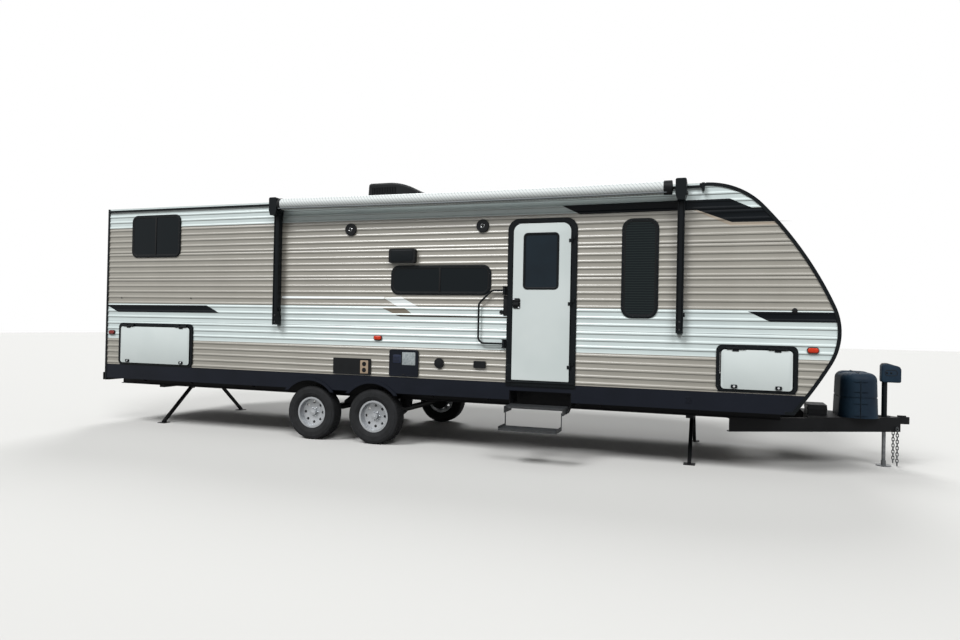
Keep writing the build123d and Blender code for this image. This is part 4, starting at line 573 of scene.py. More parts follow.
sideOpenings = {"right": [], "left": []}
for side, xPair, zPair, radius, _ in windows:
    hole = roundedLoop(shrunk(xPair, laps["window"]), shrunk(zPair, laps["window"]), radius - laps["window"])
    sideOpenings[side].append(hole)
for _, _, side, xPair, zPair, _, _, foot in doors:
    hole = roundedLoop(shrunk(xPair, -laps["door"]), (foot, zPair[1] + laps["door"]), laps["doorCorner"], 2)
    sideOpenings[side].append(hole)
outline = bodyLoop()
for side, sign in sideSigns.items():
    loops = [outline] + sideOpenings[side]
    sheet = ribbedSheet("siding_" + side, loops, wallPlace(sign), (0, sign, 0), "siding")
    if side == "right":
        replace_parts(sheet, "siding")
rearLoop = [(-1.169, 0.820), (1.169, 0.820), (1.169, 2.9397), (-1.169, 2.9397)]
ribbedSheet("siding_rear", [rearLoop], rearPlace(1), (-1, 0, 0), "siding")
print("siding ribbed")

# film stripes on both sides: finish, then the corners (x, z) of each shape
stripes = {
    "upperBand": ("blackFilm", [(-3.354, 2.762), (-1.642, 2.774), (-1.430, 2.673), (-1.10, 2.671),
                                (-1.05, 2.530), (-1.616, 2.534), (-1.955, 2.668), (-3.154, 2.662)]),
    "upperOutline": ("tanFilm", [(-1.985, 2.666), (-1.950, 2.666), (-1.614, 2.532), (-1.05, 2.528),
                                 (-1.05, 2.497), (-1.629, 2.502)]),
    "lowerBand": ("blackFilm", [(-1.454, 1.637), (-0.60, 1.637), (-0.58, 1.541), (-1.246, 1.537)]),
    "rearBand": ("blackFilm", [(-9.720, 1.630), (-8.032, 1.637), (-7.835, 1.542), (-9.502, 1.533)]),
    "whiteLine": ("whiteFilm", [(-6.886, 1.735), (-6.886, 1.762), (-5.474, 1.762), (-5.474, 1.735)]),
    "whiteFlag": ("whiteFilm", [(-5.474, 1.746), (-5.257, 1.764), (-5.030, 1.645), (-5.285, 1.643)]),
    "taupeFlag": ("taupeFilm", [(-5.492, 1.628), (-5.203, 1.630), (-5.120, 1.570), (-5.356, 1.567)]),
    "thinLine": ("brownFilm", [(-5.324, 1.552), (-3.947, 1.546), (-3.947, 1.532), (-5.262, 1.531)]),
}
filmLift = 0.0004
for side, sign in sideSigns.items():
    for name, (finish, corners) in stripes.items():
        title, facing = "film_%s_%s" % (name, side), (0, sign, 0)
        ribbedSheet(title, [corners], wallPlace(sign), facing, finish, filmLift, [outline])
print("film stripes laid")


# forms: a profile is pairs of the inset from an outline and the height off the surface
def joinRings(form, rings, closed=False, caps=True):
    for a, b in zip(rings, rings[1:] + (rings[:1] if closed else [])):
        for i in range(len(a)):
            form.faces.new((a[i - 1], a[i], b[i], b[i - 1]))
    if caps and not closed:
        form.faces.new(rings[0])
        form.faces.new(rings[-1])


def sweep(form, place, xPair, zPair, radius, profile, closed=False, steps=6):  # rings round an outline
    rings = []
    for inset, out in profile:
        loop = roundedLoop(shrunk(xPair, inset), shrunk(zPair, inset), cornerRadii(radius, inset), steps)
        rings.append([form.verts.new(place(x, z, out)) for x, z in loop])
    joinRings(form, rings, closed)


def turn(form, place, x, z, radius, profile, closed=False, steps=8):  # the same rings round a centre
    sweep(form, place, (x - radius, x + radius), (z - radius, z + radius), radius, profile, closed, steps)


def roundEdge(low, high, edge, steps=4):  # a straight side, then a rounded edge
    turns = [math.radians(90 * n / steps) for n in range(steps + 1)]
    return [(0, low)] + [(edge * (1 - math.cos(t)), high - edge + edge * math.sin(t)) for t in turns]


def addBlock(form, low, high, edge):
    made = bmesh.ops.create_cube(form, size=1.0)["verts"]
    for vert in made:
        vert.co = Vector([low[i] + (vert.co[i] + 0.5) * (high[i] - low[i]) for i in range(3)])
    edges = list({e for v in made for e in v.link_edges})
    bmesh.ops.bevel(form, geom=edges, offset=edge, segments=3, profile=0.5, affect="EDGES")


def wallBlock(form, xPair, zPair, outPair, edge, sign=-1):  # a block on a side wall, outPair off the wall
    near, far = sorted(sign * (shell["halfWidth"] + out) for out in outPair)
    addBlock(form, (xPair[0], near, zPair[0]), (xPair[1], far, zPair[1]), edge)


def addTube(form, points, radius, sides=10):
    path = [Vector(p) for p in points]
    angles = [2 * math.pi * n / sides for n in range(sides)]
    rings, upright = [], None
    for number, point in enumerate(path):
        ahead = (path[min(number + 1, len(path) - 1)] - path[max(number - 1, 0)]).normalized()
        if upright is None:
            upright = ahead.orthogonal().normalized()
        upright = (upright - ahead * upright.dot(ahead)).normalized()
        aside = ahead.cross(upright)
        ways = [math.cos(a) * upright + math.sin(a) * aside for a in angles]
        rings.append([form.verts.new(point + radius * way) for way in ways])
    joinRings(form, rings)


def finishForm(form, name, finish, body="trailer"):
    bmesh.ops.remove_doubles(form, verts=form.verts, dist=0.00003)
    bmesh.ops.recalc_face_normals(form, faces=form.faces)
    piece = plainPiece(name, [], [], [])
    form.to_mesh(piece.data)
    form.free()
    piece.data.materials.append(finishes[finish])
    return settle(piece, body, 35)


def rowTree():  # sets an item at even steps along lines, upright to the "facing" of the line
    tree, given = startTree("items in a row", {"Item": "Object", "Spacing": "Float", "Item Size": "Float"})
    line = addNode(tree, "GeometryNodeMeshToCurve", {"Mesh": given["Geometry"]}).outputs[0]
    steps = {"Curve": line, "Length": given["Spacing"]}
    stepped = addNode(tree, "GeometryNodeResampleCurve", steps, mode="LENGTH").outputs[0]
    facing = addNode(
        tree, "GeometryNodeInputNamedAttribute", {"Name": "facing"}, data_type="FLOAT_VECTOR"
    ).outputs[0]
    along = addNode(tree, "GeometryNodeInputTangent").outputs[0]
    upright = addNode(tree, "FunctionNodeAlignRotationToVector", {"Vector": facing}, axis="Z").outputs[0]
    ahead = {"Rotation": upright, "Vector": along}
    turned = addNode(tree, "FunctionNodeAlignRotationToVector", ahead, axis="X", pivot_axis="Z").outputs[0]
    item = addNode(tree, "GeometryNodeObjectInfo", {"Object": given["Item"]}).outputs["Geometry"]
    copies = {"Points": stepped, "Instance": item, "Rotation": turned, "Scale": given["Item Size"]}
    placed = addNode(tree, "GeometryNodeInstanceOnPoints", copies).outputs[0]
    return endTree(tree, placed, given["Finish"])


inRows = rowTree()


def row(name, lines, item, spacing, finish, body="trailer"):
    points, edges, facings = [], [], []  # each line: its points with their facing, and whether it closes
    for line, closed in lines:
        first = len(points)
        points += [point for point, _ in line]
        facings += [facing for _, facing in line]
        edges += [(first + n, first + n + 1) for n in range(len(line) - 1)]
        if closed:
            edges.append((first + len(line) - 1, first))
    piece = plainPiece(name, points, edges, [])
    storeValues(piece, "facing", "FLOAT_VECTOR", facings)
    runTree(piece, inRows, {"Item": item, "Spacing": spacing, "Item Size": 1.0, "Finish": finishes[finish]})
    settle(piece, body, 40)


items = []


def makeItem(form, name):  # a small master form for the rows, deleted at the end
    items.append(finishForm(form, name, "zinc", body=None))
    return items[-1]


def flatPlace(x, y, out):
    return (x, y, out)


form = bmesh.new()
headProfile = [(0, -0.001), (0.0006, 0.001), (0.002, 0.0022), (0.0032, 0.0026)]
turn(form, flatPlace, 0, 0, 0.0042, headProfile, steps=2)
screwHead = makeItem(form, "screwHead")


def rowOnWall(side, xPair, zPair, radius, out):  # a closed line of points round a frame
    sign = sideSigns[side]
    return [(wallPlace(sign)(x, z, out), (0, sign, 0)) for x, z in roundedLoop(xPair, zPair, radius)], True


# window trim: a gasket between frame and pane, a stepped lip, dividing bars and a line of screws
windowTrim = {"barHalf": 0.011, "barOut": (0.0055, 0.0125), "barEnd": 0.030, "screwIn": 0.018,
              "screwOut": 0.0108, "screwStep": 0.16}
gasketProfile = [(0.0265, 0.0055), (0.0265, 0.0092), (0.0285, 0.0108), (0.032, 0.0112), (0.0355, 0.0098),
                 (0.038, 0.0064), (0.038, 0.0052)]
lipProfile = [(-0.0006, 0.0004), (-0.0006, 0.0048), (0.0006, 0.0062), (0.0055, 0.0066), (0.0085, 0.0074),
              (0.0100, 0.0096), (0.0118, 0.0108), (0.0150, 0.0112), (0.0240, 0.0112), (0.0262, 0.0100),
              (0.0262, 0.0004)]
for side, sign in sideSigns.items():
    gaskets, lips, screwLines = bmesh.new(), bmesh.new(), []
    for xPair, zPair, radius, bars in [window[1:] for window in windows if window[0] == side]:
        sweep(gaskets, wallPlace(sign), xPair, zPair, radius, gasketProfile, True)
        sweep(lips, wallPlace(sign), xPair, zPair, radius, lipProfile, True)
        for bar in bars:
            half = windowTrim["barHalf"]
            ends = shrunk(zPair, windowTrim["barEnd"])
            wallBlock(gaskets, (bar - half, bar + half), ends, windowTrim["barOut"], 0.002, sign)
        inset = windowTrim["screwIn"]
        width, height = shrunk(xPair, inset), shrunk(zPair, inset)
        screwLines.append(rowOnWall(side, width, height, radius - inset, windowTrim["screwOut"]))
    finishForm(gaskets, "window_gaskets_" + side, "glazingRubber")
    finishForm(lips, "window_lips_" + side, "blackFrame")
    row("window_screws_" + side, screwLines, screwHead, windowTrim["screwStep"], "darkScrew")
print("window trim made")

# screws in the flanges of the door frames
flangeScrews = {"fromSide": 0.022, "fromTop": 0.016, "out": 0.0128, "step": 0.19}
for name, _, side, xPair, zPair, radius, (aside, above, below), _ in doors:
    width = shrunk(xPair, flangeScrews["fromSide"] - aside)
    height = shrunk((zPair[0] - below, zPair[1] + above), flangeScrews["fromTop"])
    lines = [rowOnWall(side, width, height, radius, flangeScrews["out"])]
    row("frame_screws_" + name, lines, screwHead, flangeScrews["step"], "darkScrew")

# door handle: a rounded plate with a paddle and a lock cover in a dished pocket, and two key cylinders
leafRise = 0.020  # face of every door leaf off the wall
handle = {"x": (-3.883, -3.799), "z": (1.641, 1.754), "plate": 0.011, "paddle": 0.030, "corner": 0.016}
handleX = shrunk(handle["x"], 0.012)
leafPlace = wallPlace(-1, leafRise)
form = bmesh.new()
plate = roundEdge(0.0005, handle["plate"], 0.004)
plate += [(0.010, handle["plate"]), (0.0125, 0.006), (0.016, 0.0055)]
sweep(form, leafPlace, handle["x"], handle["z"], handle["corner"], plate)
sweep(form, leafPlace, handleX, (1.671, 1.706), 0.009, roundEdge(0.004, handle["paddle"], 0.006))
sweep(form, leafPlace, handleX, (1.712, 1.742), 0.009, roundEdge(0.004, 0.0150, 0.004))
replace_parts(finishForm(form, "door_handle", "blackPlastic", "entry_door"), "entry_door_latch")
form = bmesh.new()
for x, z, out in ((-3.868, 1.744, 0.0150), (-3.813, 1.652, 0.0105)):
    cylinder = [(0, 0.004), (0, out + 0.001), (0.001, out + 0.002), (0.003, out + 0.002),
                (0.0034, out + 0.001), (0.006, out + 0.001)]
    turn(form, leafPlace, x, z, 0.0085, cylinder)
finishForm(form, "door_key_cylinders", "chrome", "entry_door")

# covers on the walls: finish, side, x, z, corner, height of the rim off the wall, its edge and its width,
# and the inset and the height of the panel inside it
hatchRim = (0.022, 0.0185, 0.005, 0.022, 0.026, 0.0148)
covers = {
    "heater_door": ("skirt", "right", (-5.3835, -5.0115), (0.8315, 1.1465),
                    (0.050, 0.012), 0.0175, 0.005, 0.014, 0.016, 0.0150),
    "socket_panel": ("blackPlastic", "right", (-6.1335, -5.6275), (0.8295, 1.0235),
                     0.014, 0.0128, 0.004, 0.014, 0.016, 0.0105),
    "outlet_cover": ("blackPlastic", "right", (-4.3305, -4.1915), (0.9655, 1.0445),
                     0.010, 0.0250, 0.005, 0.010, 0.012, 0.0225),
    "porch_light_base": ("blackPlastic", "right", (-5.3955, -5.0605), (2.1555, 2.3195),
                         0.024, 0.0610, 0.016, 0.024, 0.028, 0.0585),
    "hatch_low_left": ("whitePlastic", "left", (-4.1005, -3.4995), (0.8595, 1.1805), *hatchRim),
    "hatch_high_left": ("whitePlastic", "left", (-4.1005, -3.4995), (1.8995, 2.1805), *hatchRim),
    "water_heater_left": ("whitePlastic", "left", (-7.9005, -7.4495), (0.8995, 1.3505), *hatchRim),
    "cable_hatch_left": ("whitePlastic", "left", (-9.3505, -9.2195), (0.9995, 1.1305),
                         0.022, 0.0215, 0.006, 0.012, 0.015, 0.0188),
}
for name, (finish, side, xPair, zPair, corner, out, edge, rim, inset, panel) in covers.items():
    form = bmesh.new()
    profile = roundEdge(0.0005, out, edge) + [(rim, out), (inset, panel)]
    sweep(form, wallPlace(sideSigns[side]), xPair, zPair, corner, profile)
    finishForm(form, name, finish)

# louvres of the left hatches: a row of hooded slats
louvres = {"x": -3.800, "out": 0.0150, "pitch": 0.024, "heights": [(0.905, 1.140), (1.945, 2.140)]}
form = bmesh.new()
addBlock(form, (-0.0055, -0.23, -0.001), (0.0055, 0.23, 0.0045), 0.0016)
slat = makeItem(form, "slat")
slatPlace = wallPlace(1, louvres["out"])
slatRows = [([(slatPlace(louvres["x"], z), (0, 1, 0)) for z in pair], False) for pair in louvres["heights"]]
row("hatch_slats_left", slatRows, slat, louvres["pitch"], "whitePlastic")

# what stands on the covers of the door side: finish, x, z, corner, from and to off the wall, edge
insets = {
    "heater_vent": ("blueVent", (-5.335, -5.231), (0.989, 1.083), 0.010, 0.012, 0.0185, 0.003),
    "heater_plate": ("zincPlate", (-5.216, -5.049), (0.967, 1.115), 0.004, 0.012, 0.0165, 0.0012),
    "heater_latch": ("blackPlastic", (-5.215, -5.180), (0.845, 0.860), 0.004, 0.012, 0.0200, 0.002),
    "socket_plate": ("tanPlastic", (-5.764, -5.659), (0.846, 1.002), 0.008, 0.010, 0.0158, 0.002),
    "porch_lens": ("blackFrame", (-5.372, -5.084), (2.170, 2.305), 0.030, 0.055, 0.0650, 0.008),
}
rightWall = wallPlace(-1)
for name, (finish, xPair, zPair, corner, low, high, edge) in insets.items():
    form = bmesh.new()
    sweep(form, rightWall, xPair, zPair, corner, roundEdge(low, high, edge))
    finishForm(form, name, finish)


def addSlats(form, xPair, zPair, count, outPair):  # level bars on the right wall, zPair is one and the next
    for number in range(count):
        z = zPair[0] + number * zPair[1]
        wallBlock(form, xPair, (z, z + 0.005), outPair, 0.001)


# round sockets in the tan plate, and the bars of the heater vent
sockets = {"x": -5.7115, "zs": (0.888, 0.960), "radius": 0.027}
socket = [(0, 0.0125), (0, 0.0175), (0.002, 0.0190), (0.006, 0.0190), (0.008, 0.0165), (0.024, 0.0165)]
form = bmesh.new()
for z in sockets["zs"]:
    turn(form, rightWall, sockets["x"], z, sockets["radius"], socket)
finishForm(form, "sockets", "blackPlastic")
form = bmesh.new()
addSlats(form, (-5.336, -5.244), (1.000, 0.0165), 5, (0.0175, 0.0205))
finishForm(form, "heater_vent_slats", "blackPlastic")

# speakers: a rim, six rings of the grille and a bright ring in the middle
speaker = {"xs": (-5.931, -4.256), "z": 2.567, "radius": 0.0745, "brightRadius": 0.0215, "rings": 6}
form, bright = bmesh.new(), bmesh.new()
grille = roundEdge(0.0005, 0.0160, 0.006) + [(0.012, 0.0160), (0.015, 0.0125)]
for inset in [0.018 + number * 0.006 for number in range(speaker["rings"])]:
    grille += [(inset, 0.0125), (inset + 0.002, 0.0145), (inset + 0.004, 0.0145)]
grille += [(0.058, 0.0155), (0.070, 0.0185)]
brightRing = [(0, 0.014), (0, 0.0175), (0.0015, 0.0185), (0.003, 0.0175), (0.003, 0.014)]
for x in speaker["xs"]:
    turn(form, rightWall, x, speaker["z"], speaker["radius"], grille)
    turn(bright, rightWall, x, speaker["z"], speaker["brightRadius"], brightRing, True)
finishForm(form, "speakers", "blackPlastic")
finishForm(bright, "speaker_rings", "chrome")

# round fittings: x, z, radius and profile of the outdoor port, the bell button, the aerial port, two rivets
rivet = roundEdge(-0.002, 0.0060, 0.003)
port = roundEdge(0.0005, 0.0170, 0.005) + [(0.009, 0.0170), (0.011, 0.0140), (0.018, 0.0140)]
port += [(0.020, 0.0190), (0.026, 0.0205), (0.045, 0.0205)]
rounds = [
    (-4.754, 1.003, 0.0585, port),
    (-4.019, 1.599, 0.0225, roundEdge(0.0005, 0.0090, 0.003) + [(0.006, 0.0090), (0.008, 0.0070)]),
    (-1.024, 1.651, 0.025, roundEdge(-0.002, 0.0100, 0.004) + [(0.010, 0.0115), (0.018, 0.0115)]),
    (-9.446, 1.727, 0.008, rivet),
    (-8.283, 1.729, 0.008, rivet),
]
form = bmesh.new()
for x, z, radius, profile in rounds:
    turn(form, rightWall, x, z, radius, profile)
finishForm(form, "round_fittings", "blackPlastic")
form = bmesh.new()
wallBlock(form, (-3.997, -3.955), (1.560, 1.784), (-0.003, 0.006), 0.0015)
finishForm(form, "rail_backing_strip", "blackPlastic")
print("wall fittings dressed")


def skin(form, place, xPair, zPair, radius, back, front, hole=None):  # a flat sheet with a rolled edge
    rings = []
    for inset, out in [(0, back), (0, front - 0.0022), (0.0007, front - 0.0006), (0.0024, front)]:
        loop = roundedLoop(shrunk(xPair, inset), shrunk(zPair, inset), cornerRadii(radius, inset), 8)
        kept = [p for n, p in enumerate(loop) if math.dist(p, loop[n - 1]) > 0.00004]
        rings.append([form.verts.new(place(x, z, out)) for x, z in kept])
    joinRings(form, rings, caps=False)
    rim = rings[-1]
    edges = [form.edges.get((rim[i - 1], rim[i])) for i in range(len(rim))]
    if hole:
        ring = [form.verts.new(place(x, z, front)) for x, z in roundedLoop(*hole, 8)]
        edges += [form.edges.new((ring[i - 1], ring[i])) for i in range(len(ring))]
    bmesh.ops.triangle_fill(form, use_beauty=True, edges=edges)


def insideSkin(form, body, sign, xPair, zPair, inset, radius, hole=None):  # lies on the leaf's inner face
    back = shell["halfWidth"] - min(abs(corner.y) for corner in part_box(body))
    width, height = shrunk(xPair, inset), shrunk(zPair, inset)
    skin(form, wallPlace(sign, 0, -1), width, height, radius, back - 0.001, back + 0.0006, hole)
    finishForm(form, body + "_inner_skin", "wallPanel", body)


# skins of the doors: white outside, papered inside, and a thumb turn on each latch of a baggage door
skinOut = 0.0206
entryX, entryZ = doors[0][3:5]
entryHole = ((-3.760, -3.384), (1.862, 2.461), 0.040)
form = bmesh.new()
skin(form, rightWall, shrunk(entryX, 0.004), (0.853, 2.576), (0.091, 0.010), 0.0122, skinOut, entryHole)
finishForm(form, "entry_door_skin", "gelcoat", "entry_door")
insideSkin(bmesh.new(), "entry_door", -1, entryX, entryZ, 0.010, 0.085, entryHole)
latch = {"in": 0.130, "up": 0.0325, "radius": 0.011}
latchBase = [(0, 0.010), (0, 0.0135), (0.0015, 0.0150), (0.004, 0.0150)]
for _, body, side, xPair, zPair, radius, _, _ in doors[1:]:
    sign = sideSigns[side]
    form = bmesh.new()
    skin(form, wallPlace(sign), shrunk(xPair, 0.005), shrunk(zPair, 0.005), radius - 0.005, 0.0150, skinOut)
    finishForm(form, body + "_skin", "gelcoat", body)
    insideSkin(bmesh.new(), body, sign, xPair, zPair, 0.012, radius - 0.012)
    form = bmesh.new()
    for x in shrunk(xPair, latch["in"]):
        z = zPair[0] + latch["up"]
        turn(form, wallPlace(sign, leafRise), x, z, latch["radius"], latchBase)
        wallBlock(form, (x - 0.003, x + 0.003), (z - 0.009, z + 0.009), (0.0345, 0.0415), 0.0012, sign)
    finishForm(form, body + "_thumb_turns", "chrome", body)
windowRing = [(0, 0.0195), (0, 0.0232), (0.002, 0.0252), (0.006, 0.0258), (0.020, 0.0258), (0.024, 0.0246),
              (0.026, 0.0222), (0.026, 0.0165), (0.018, 0.0165)]
form = bmesh.new()
sweep(form, rightWall, (-3.773, -3.371), (1.849, 2.474), 0.049, windowRing, True)
finishForm(form, "entry_door_window_ring", "blackFrame", "entry_door")

# threshold: two side bars with a bar between their feet, and the sill; x, z, and off the wall
threshold = [
    ((-3.955, -3.8935), (0.786, 1.020), (0.0005, 0.0150)),
    ((-3.2365, -3.175), (0.786, 1.020), (0.0005, 0.0150)),
    ((-3.894, -3.236), (0.786, 0.8465), (0.0005, 0.0150)),
    ((-3.948, -3.182), (0.8250, 0.8400), (0.0120, 0.0290)),
]
form = bmesh.new()
for xPair, zPair, outPair in threshold:
    wallBlock(form, xPair, zPair, outPair, 0.003)
finishForm(form, "entry_threshold", "blackFrame")
form = bmesh.new()
vent = roundEdge(-0.001, 0.0045, 0.002) + [(0.006, 0.0045), (0.008, 0.0025)]
sweep(form, rightWall, (-2.035, -1.975), (0.690, 0.760), 0.006, vent)
addSlats(form, (-2.026, -1.984), (0.700, 0.014), 4, (0.0015, 0.0060))
finishForm(form, "skirt_vent", "skirt")

# gas bottle cover: its seam runs up one side, over the top with its dip, and down the other
cover = {"seamX": -0.287, "foot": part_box("gas_bottle_cover")[0].z, "footHalf": 0.3455, "draft": 2,
         "shoulder": 0.932, "half": 0.327, "seamHalf": 0.3268, "top": 1.014, "edge": 0.080,
         "dipHalf": 0.095, "dipRadius": 0.150, "dipCentre": 1.130}


def coverLine(y):  # height of the cover's top at each place across it
    side = abs(y)
    if side < cover["dipHalf"]:
        return cover["dipCentre"] - math.sqrt(cover["dipRadius"] ** 2 - side**2)
    past = side - (cover["half"] - cover["edge"])
    if past > 0:
        return cover["top"] - cover["edge"] + math.sqrt(max(cover["edge"] ** 2 - past**2, 0))
    return cover["top"]


up = [n * (cover["shoulder"] - cover["foot"]) / 9 + 0.002 for n in range(10)]
lean = math.tan(math.radians(cover["draft"]))
seam = [(cover["seamX"], h * lean - cover["footHalf"], cover["foot"] + h) for h in up]
ys = [cover["seamHalf"] * (n / 20 - 1) for n in range(41)]
over = [(cover["seamX"], y, coverLine(y)) for y in ys]
form = bmesh.new()
addTube(form, [(x - 0.012, y, z + 0.004) for x, y, z in over[4:-4]], 0.0045, 6)
addTube(form, seam + over + [(x, -y, z) for x, y, z in reversed(seam)], 0.0035, 6)
finishForm(form, "gas_cover_seam", "blackFrame")

# marker lamps: x, z and lens; each is a black base with a domed lens
markers = [(-0.856, 1.265, "amberLens"), (-5.543, 1.275, "amberLens"), (-9.598, 1.254, "redLens")]
markerBase = roundEdge(0.0005, 0.0100, 0.003) + [(0.008, 0.0100)]
markerDome = [(0, 0.008), (0, 0.0150), (0.0015, 0.0190), (0.005, 0.0226), (0.010, 0.0244), (0.016, 0.0250)]
# tail lamps: finish, slot, y, z, corner and profile of the housing, the lens and its clear stripe
tailLamp = {
    "housing": ("blackPlastic", "trim_black", (0.900, 1.120), (1.000, 1.180), 0.018,
                roundEdge(0.0005, 0.030, 0.006) + [(0.010, 0.030)]),
    "lens": ("redLens", "lamp_lens", (0.908, 1.112), (1.008, 1.172), 0.014,
             roundEdge(0.028, 0.0455, 0.007) + [(0.020, 0.0455), (0.022, 0.0440), (0.0235, 0.0455)]),
    "clear": ("milkLens", "lamp_lens", (0.930, 1.090), (1.075, 1.105), 0.004,
              roundEdge(0.040, 0.0458, 0.002)),
}
for side, sign in sideSigns.items():
    base, lenses = bmesh.new(), {"amberLens": bmesh.new(), "redLens": bmesh.new()}
    for x, z, kind in markers:
        xPair, zPair = (x - 0.0545, x + 0.0545), (z - 0.0305, z + 0.0305)
        sweep(base, wallPlace(sign), xPair, zPair, 0.026, markerBase)
        sweep(lenses[kind], wallPlace(sign), shrunk(xPair, 0.006), shrunk(zPair, 0.006), 0.021, markerDome)
    bases = finishForm(base, "lamp_bases_" + side, "blackPlastic")
    if side == "right":
        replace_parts(bases, "lamps")
    for kind, lens in lenses.items():
        finishForm(lens, "%s_%s" % (kind, side), kind)
    for part, (finish, slot, yPair, zPair, corner, profile) in tailLamp.items():
        form = bmesh.new()
        sweep(form, rearPlace(sign), yPair, zPair, corner, profile)
        finishForm(form, "tail_lamp_%s_%s" % (part, side), finish)
print("lamps made")

# awning: the rolled cover with a slight sag, the bead along its edge, and a cap at each end
awning = {"from": -6.845, "to": -2.245, "out": 1.350, "z": 2.883, "radius": 0.0695, "sag": 0.012,
          "bead": (-0.045, -0.0535), "beadRadius": 0.0085, "stations": 46,
          "axles": [(-6.866, -6.855, -6.846), (-2.200, -2.180, -2.160)], "axleRadius": 0.012,
          "armXs": (-6.922, -2.104), "armBolts": (1.440, 1.520, 2.790), "knobZ": 2.822}


def alongPlace(yMiddle, zMiddle=0):  # turned forms that lie along x
    return lambda y, z, x: (x, yMiddle + y, zMiddle + z)


def awningPlace(y, z, x):
    span = (x - awning["from"]) / (awning["to"] - awning["from"])
    return (x, y - awning["out"], awning["z"] + z - awning["sag"] * math.sin(math.pi * min(max(span, 0), 1)))


form = bmesh.new()
length = awning["to"] - awning["from"]
stations = [awning["from"] + length * n / awning["stations"] for n in range(awning["stations"] + 1)]
turn(form, awningPlace, 0, 0, awning["radius"], [(0, x) for x in stations], steps=10)
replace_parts(finishForm(form, "awning_cover", "awningVinyl"), "awning_roller")
form = bmesh.new()
addTube(form, [awningPlace(*awning["bead"], x) for x in stations], awning["beadRadius"], 8)
finishForm(form, "awning_edge_bead", "greyPlastic")
form = bmesh.new()
capPlace = alongPlace(-awning["out"], awning["z"])
for x, outward, length in ((awning["from"], -1, 0.012), (awning["to"], 1, 0.055)):
    cap = [(0.0, -0.030), (-0.0035, -0.028), (-0.0038, length - 0.008), (-0.001, length - 0.002),
           (0.006, length), (0.030, length), (0.034, length - 0.004)]
    turn(form, capPlace, 0, 0, awning["radius"], [(inset, x + outward * out) for inset, out in cap], steps=10)
for axle in awning["axles"]:
    addTube(form, [capPlace(0, 0, x) for x in axle], awning["axleRadius"])
finishForm(form, "awning_caps", "blackPlastic")
form = bmesh.new()
knob = [(0, -2.052), (0, -2.040), (0.003, -2.036), (0.010, -2.035)]
turn(form, alongPlace(-(shell["halfWidth"] + 0.120)), 0, awning["knobZ"], 0.020, knob)
bolt = [(0, -0.012), (0, 0.003), (0.002, 0.0045), (0.006, 0.0045)]
for x in awning["armXs"]:  # two bolts at the foot of each arm and one at its head
    for z in awning["armBolts"]:
        turn(form, wallPlace(-1, 0.095), x, z, 0.011, bolt, steps=3)
finishForm(form, "awning_hardware", "darkScrew")
print("awning made")

# wheels: carcass with sidewall rings, tread blocks in rows with grooves between, and nuts on the rim
# rows of tread: place across the tyre, and turn in degrees
wheel = {"radius": 0.331, "y": 1.075, "groove": 0.007, "blockPitch": 0.034, "nutCircle": 0.051,
         "nutOut": 0.008, "axles": {"rear": -6.467, "front": -5.616},
         "rows": [(-0.062, 0), (-0.031, 1.5), (0, 0), (0.031, 1.5), (0.062, 0)]}
tyreProfile = [  # inset from the tread, and place across the tyre
    (0.135, 0.078), (0.118, 0.0900), (0.100, 0.0985), (0.092, 0.1000), (0.090, 0.1018), (0.086, 0.1018),
    (0.084, 0.1006), (0.069, 0.1024), (0.048, 0.1005), (0.046, 0.1018), (0.040, 0.1010), (0.038, 0.0985),
    (0.022, 0.0945), (0.012, 0.0905), (0.0075, 0.0850), (0.0070, 0.0760),
]
beadRings = [(0.139, -0.0755), (0.1525, -0.0755), (0.1525, 0.0755), (0.139, 0.0755)]
tyreRings = tyreProfile + [(inset, -across) for inset, across in reversed(tyreProfile)] + beadRings
form = bmesh.new()
addBlock(form, (-0.0135, -0.0105, -0.003), (0.0135, 0.0105, 0.0062), 0.0015)
treadBlock = makeItem(form, "treadBlock")
form = bmesh.new()
nutProfile = [(0, -0.002), (0, 0.010), (0.0015, 0.0135), (0.004, 0.0155), (0.007, 0.0160)]
turn(form, flatPlace, 0, 0, 0.011, nutProfile, steps=1)
nut = makeItem(form, "wheelNut")


def circleLine(x, y, radius, shift, facing):  # a closed line round an axle, facing out or to one side
    angles = [math.radians(3 * n + shift) for n in range(120)]
    rays = [(math.cos(a), 0, math.sin(a)) for a in angles]
    middle = wheel["radius"]
    return [((x + radius * c, y, middle + radius * s), facing or (c, 0, s)) for c, _, s in rays], True


for side, sign in sideSigns.items():
    for end, x in wheel["axles"].items():
        corner, body, y = "%s_%s" % (side, end), "wheel_%s_%s" % (side, end), sign * wheel["y"]
        form = bmesh.new()
        wheelPlace = wallPlace(sign, wheel["y"] - shell["halfWidth"], sign)
        turn(form, wheelPlace, x, wheel["radius"], wheel["radius"], tyreRings, True, steps=16)
        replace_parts(finishForm(form, "tyre_tread_" + corner, "rubber", body), "tyre_" + corner)
        treadRadius = wheel["radius"] - wheel["groove"]
        lines = [circleLine(x, y + across, treadRadius, shift, None) for across, shift in wheel["rows"]]
        row("tread_blocks_" + corner, lines, treadBlock, wheel["blockPitch"], "rubber", body)
        lines = [circleLine(x, y + sign * wheel["nutOut"], wheel["nutCircle"], 0, (0, sign, 0))]
        nutStep = 2 * math.pi * wheel["nutCircle"] / 6
        row("wheel_nuts_" + corner, lines, nut, nutStep, "chrome", body)
print("tyres made")

# jack: a rounded hood that falls towards the front, with an oval rim on each side and two switches
hood = {"x": (-0.040, 0.149), "z": (0.9125, 1.1245), "half": 0.0625, "fall": 0.038, "corner": 0.045}


def hoodPlace(x, z, out):
    rise = (z - hood["z"][0]) / (hood["z"][1] - hood["z"][0])
    return (x, out, z - hood["fall"] * rise * (x - hood["x"][0]) / (hood["x"][1] - hood["x"][0]))


def headPlace(sign):  # points on the hood's sides
    return lambda x, z, out: (x, sign * (hood["half"] + out), z)


